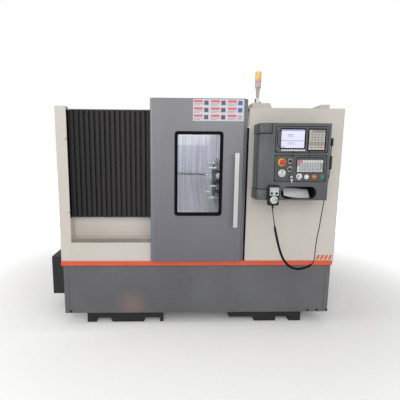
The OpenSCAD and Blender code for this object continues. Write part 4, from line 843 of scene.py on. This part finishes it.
# Skirt bolts: black oxide socket heads that hold the base skirts near their lower edge.
# Each stands in a pressed washer.
heads("skirt_bolt", [(0.002, -0.001), (0.0095, -0.001), (0.0095, 0.0016), (0.0065, 0.002),
                     (0.0065, 0.0075), (0.0055, 0.0085), (0.0034, 0.0085), (0.0034, 0.004),
                     (0.0006, 0.004)],
      [(x, SKIRT_Y, 0.122) for x in (-1.03, 1.073, 1.155, 1.243)], "machine", steps=20)


# Skirt screws: four small button heads of black oxide steel just below the trim band.
# They hold the skirt's upper edge to the bed.
button_head = [(0.001, -0.001), (0.005, -0.001), (0.005, 0.0008), (0.004, 0.0026),
               (0.0018, 0.003), (0.0004, 0.003)]
heads("skirt_screw", button_head,
      [(x, SKIRT_Y, 0.536) for x in (-0.979, -0.535, -0.103, 0.33)], "machine")


# Post screws: two small button heads of black oxide steel at the post's edge.
# They hold the folded return from the front.
heads("post_screw", button_head, [(-1.0065, CABINET_Y, z) for z in (1.606, 1.004)], "machine")


# Chuck bolts: six socket screws that hold the chuck on the spindle nose, between its jaws.
# They are turned from alloy steel and blackened.
chuck_x, chuck_y, chuck_z, bolt_ring = -0.13, -0.1, 1.05, 0.096
bolt_turn = np.radians([48, 72, 168, 192, 288, 312])
heads("chuck_bolt", [(0.002, -0.001), (0.008, -0.001), (0.008, 0.0035), (0.0072, 0.0045),
                     (0.0045, 0.0045), (0.0045, 0.001), (0.0006, 0.001)],
      [(chuck_x, chuck_y - bolt_ring * np.sin(a), chuck_z + bolt_ring * np.cos(a))
       for a in bolt_turn], "spindle", RIGHT, 20)


# Motor box louvres: a pressed sheet with nine slats, spot welded to the left face.
# Each slat leans out by 2 mm so that the motor's air can leave.
slat_low = 0.225 + 0.028 * np.arange(9)
slat_z = np.stack([slat_low, slat_low + 0.02, slat_low + 0.0215], -1).ravel()
sheet_x, slat_out, weld_x = -1.2704, -1.2724, -1.2698
louvre_x = np.concatenate([np.tile([sheet_x, slat_out, sheet_x], 9), [sheet_x, weld_x, weld_x]])
louvre_y = np.array([-0.255, 0.015])[:, None]
louvre_z = np.concatenate([slat_z, [0.49, 0.49, 0.215]])
louvre = np.stack([louvre_x + 0 * louvre_y, louvre_y + 0 * louvre_x, louvre_z + 0 * louvre_y], -1)
slats = surface("motor_louvres", louvre, motor_black)
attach(slats, "machine")


# Rear door locks: quarter-turn locks of blackened steel, two on each rear door.
# The recess in the face takes the cabinet key.
BACK = np.array([[-1, 0, 0], [0, 0, 1], [0, 1, 0]])
rear_y = 0.892
heads("rear_lock", [(0.002, -0.001), (0.0165, -0.001), (0.0165, 0.0012), (0.015, 0.002),
                    (0.009, 0.002), (0.0085, 0.0008), (0.001, 0.0008)],
      [(x, rear_y, z) for x in (0.02, 0.16) for z in (0.9, 1.5)], "machine", BACK, 28)


# Studio: a pale seamless floor of matt paint that fades to white, and four broad soft lamps.
# The camera stands at the photograph's place, at the operator's eye height.
floor_paint = shader("pale_studio_floor")
floor_spot = add(floor_paint, "ShaderNodeTexCoord").outputs["Object"]
floor_far = add(floor_paint, "ShaderNodeVectorMath", {"operation": "LENGTH"}, Vector=floor_spot)
floor_glow = add(floor_paint, "ShaderNodeMapRange",
                 {"From Min": 1.6, "From Max": 5.0, "To Min": 0.1, "To Max": 1.0,
                  "interpolation_type": "SMOOTHSTEP"}, Value=floor_far.outputs["Value"])
floor_rays = add(floor_paint, "ShaderNodeLightPath").outputs
floor_shown = add(floor_paint, "ShaderNodeMath", {"operation": "MULTIPLY"})
floor_paint.node_tree.links.new(floor_glow.outputs["Result"], floor_shown.inputs[0])
floor_paint.node_tree.links.new(floor_rays["Is Camera Ray"], floor_shown.inputs[1])
add(floor_paint, "Principled BSDF",
    {"Base Color": lin("#f6f6f5"), "Roughness": 0.9, "Specular IOR Level": 0.1,
     "Emission Color": (1, 1, 1, 1)}, Emission_Strength=floor_shown.outputs["Value"])
span = np.linspace(-40, 40, 3)
floor = surface("floor", np.stack(np.meshgrid(span, span, [0.0]), -1)[:, :, 0], floor_paint,
                (False, False), False)
world = bpy.data.worlds.new("studio")
bpy.context.scene.world = world
world.use_nodes = True
rays = add(world, "ShaderNodeLightPath").outputs
seen = add(world, "ShaderNodeMath", {"operation": "MAXIMUM"})
world.node_tree.links.new(rays["Is Camera Ray"], seen.inputs[0])
world.node_tree.links.new(rays["Is Transmission Ray"], seen.inputs[1])
level = add(world, "ShaderNodeMapRange", {"To Min": 0.42, "To Max": 1.0}, Value=seen.outputs[0])
add(world, "Background", {"Color": (1, 1, 1, 1)}, Strength=level.outputs["Result"])
for name, place, aim, size, power in (("key", (-0.8, -5.8, 3.4), (0, -0.4, 1.0), 3.5, 105),
                                      ("fill", (3.2, -5.0, 2.6), (0.2, -0.4, 1.0), 3.5, 50),
                                      ("side", (-5.6, -1.6, 2.2), (0, -0.6, 1.2), 2.5, 120),
                                      ("top", (0, -0.4, 5.2), (0, 0, 1.0), 4.0, 40)):
    lamp = bpy.data.lights.new(name, "AREA")
    lamp.size, lamp.energy = size, power
    light = bpy.data.objects.new(name, lamp)
    bpy.context.scene.collection.objects.link(light)
    back = np.array(place) - np.array(aim)
    back /= np.linalg.norm(back)
    right = np.cross([0.0, 1.0, 0.0] if abs(back[2]) > 0.98 else [0.0, 0.0, 1.0], back)
    right /= np.linalg.norm(right)
    turn_m = np.eye(4)
    turn_m[:3, :3] = np.stack([right, np.cross(back, right), back], 1)
    turn_m[:3, 3] = place
    light.matrix_world = turn_m.T
optics = bpy.data.cameras.new("camera")
optics.lens, optics.sensor_width = 31.5, 36.0
optics.shift_x, optics.shift_y = 0.0575, 0.0375
camera = bpy.data.objects.new("camera", optics)
camera.location = (-0.1914, -3.537, 1.4524)
camera.rotation_euler = np.radians([80.887, -0.337, -1.646])
bpy.context.scene.collection.objects.link(camera)
bpy.context.scene.camera = camera
bpy.context.scene.view_settings.view_transform = "Standard"
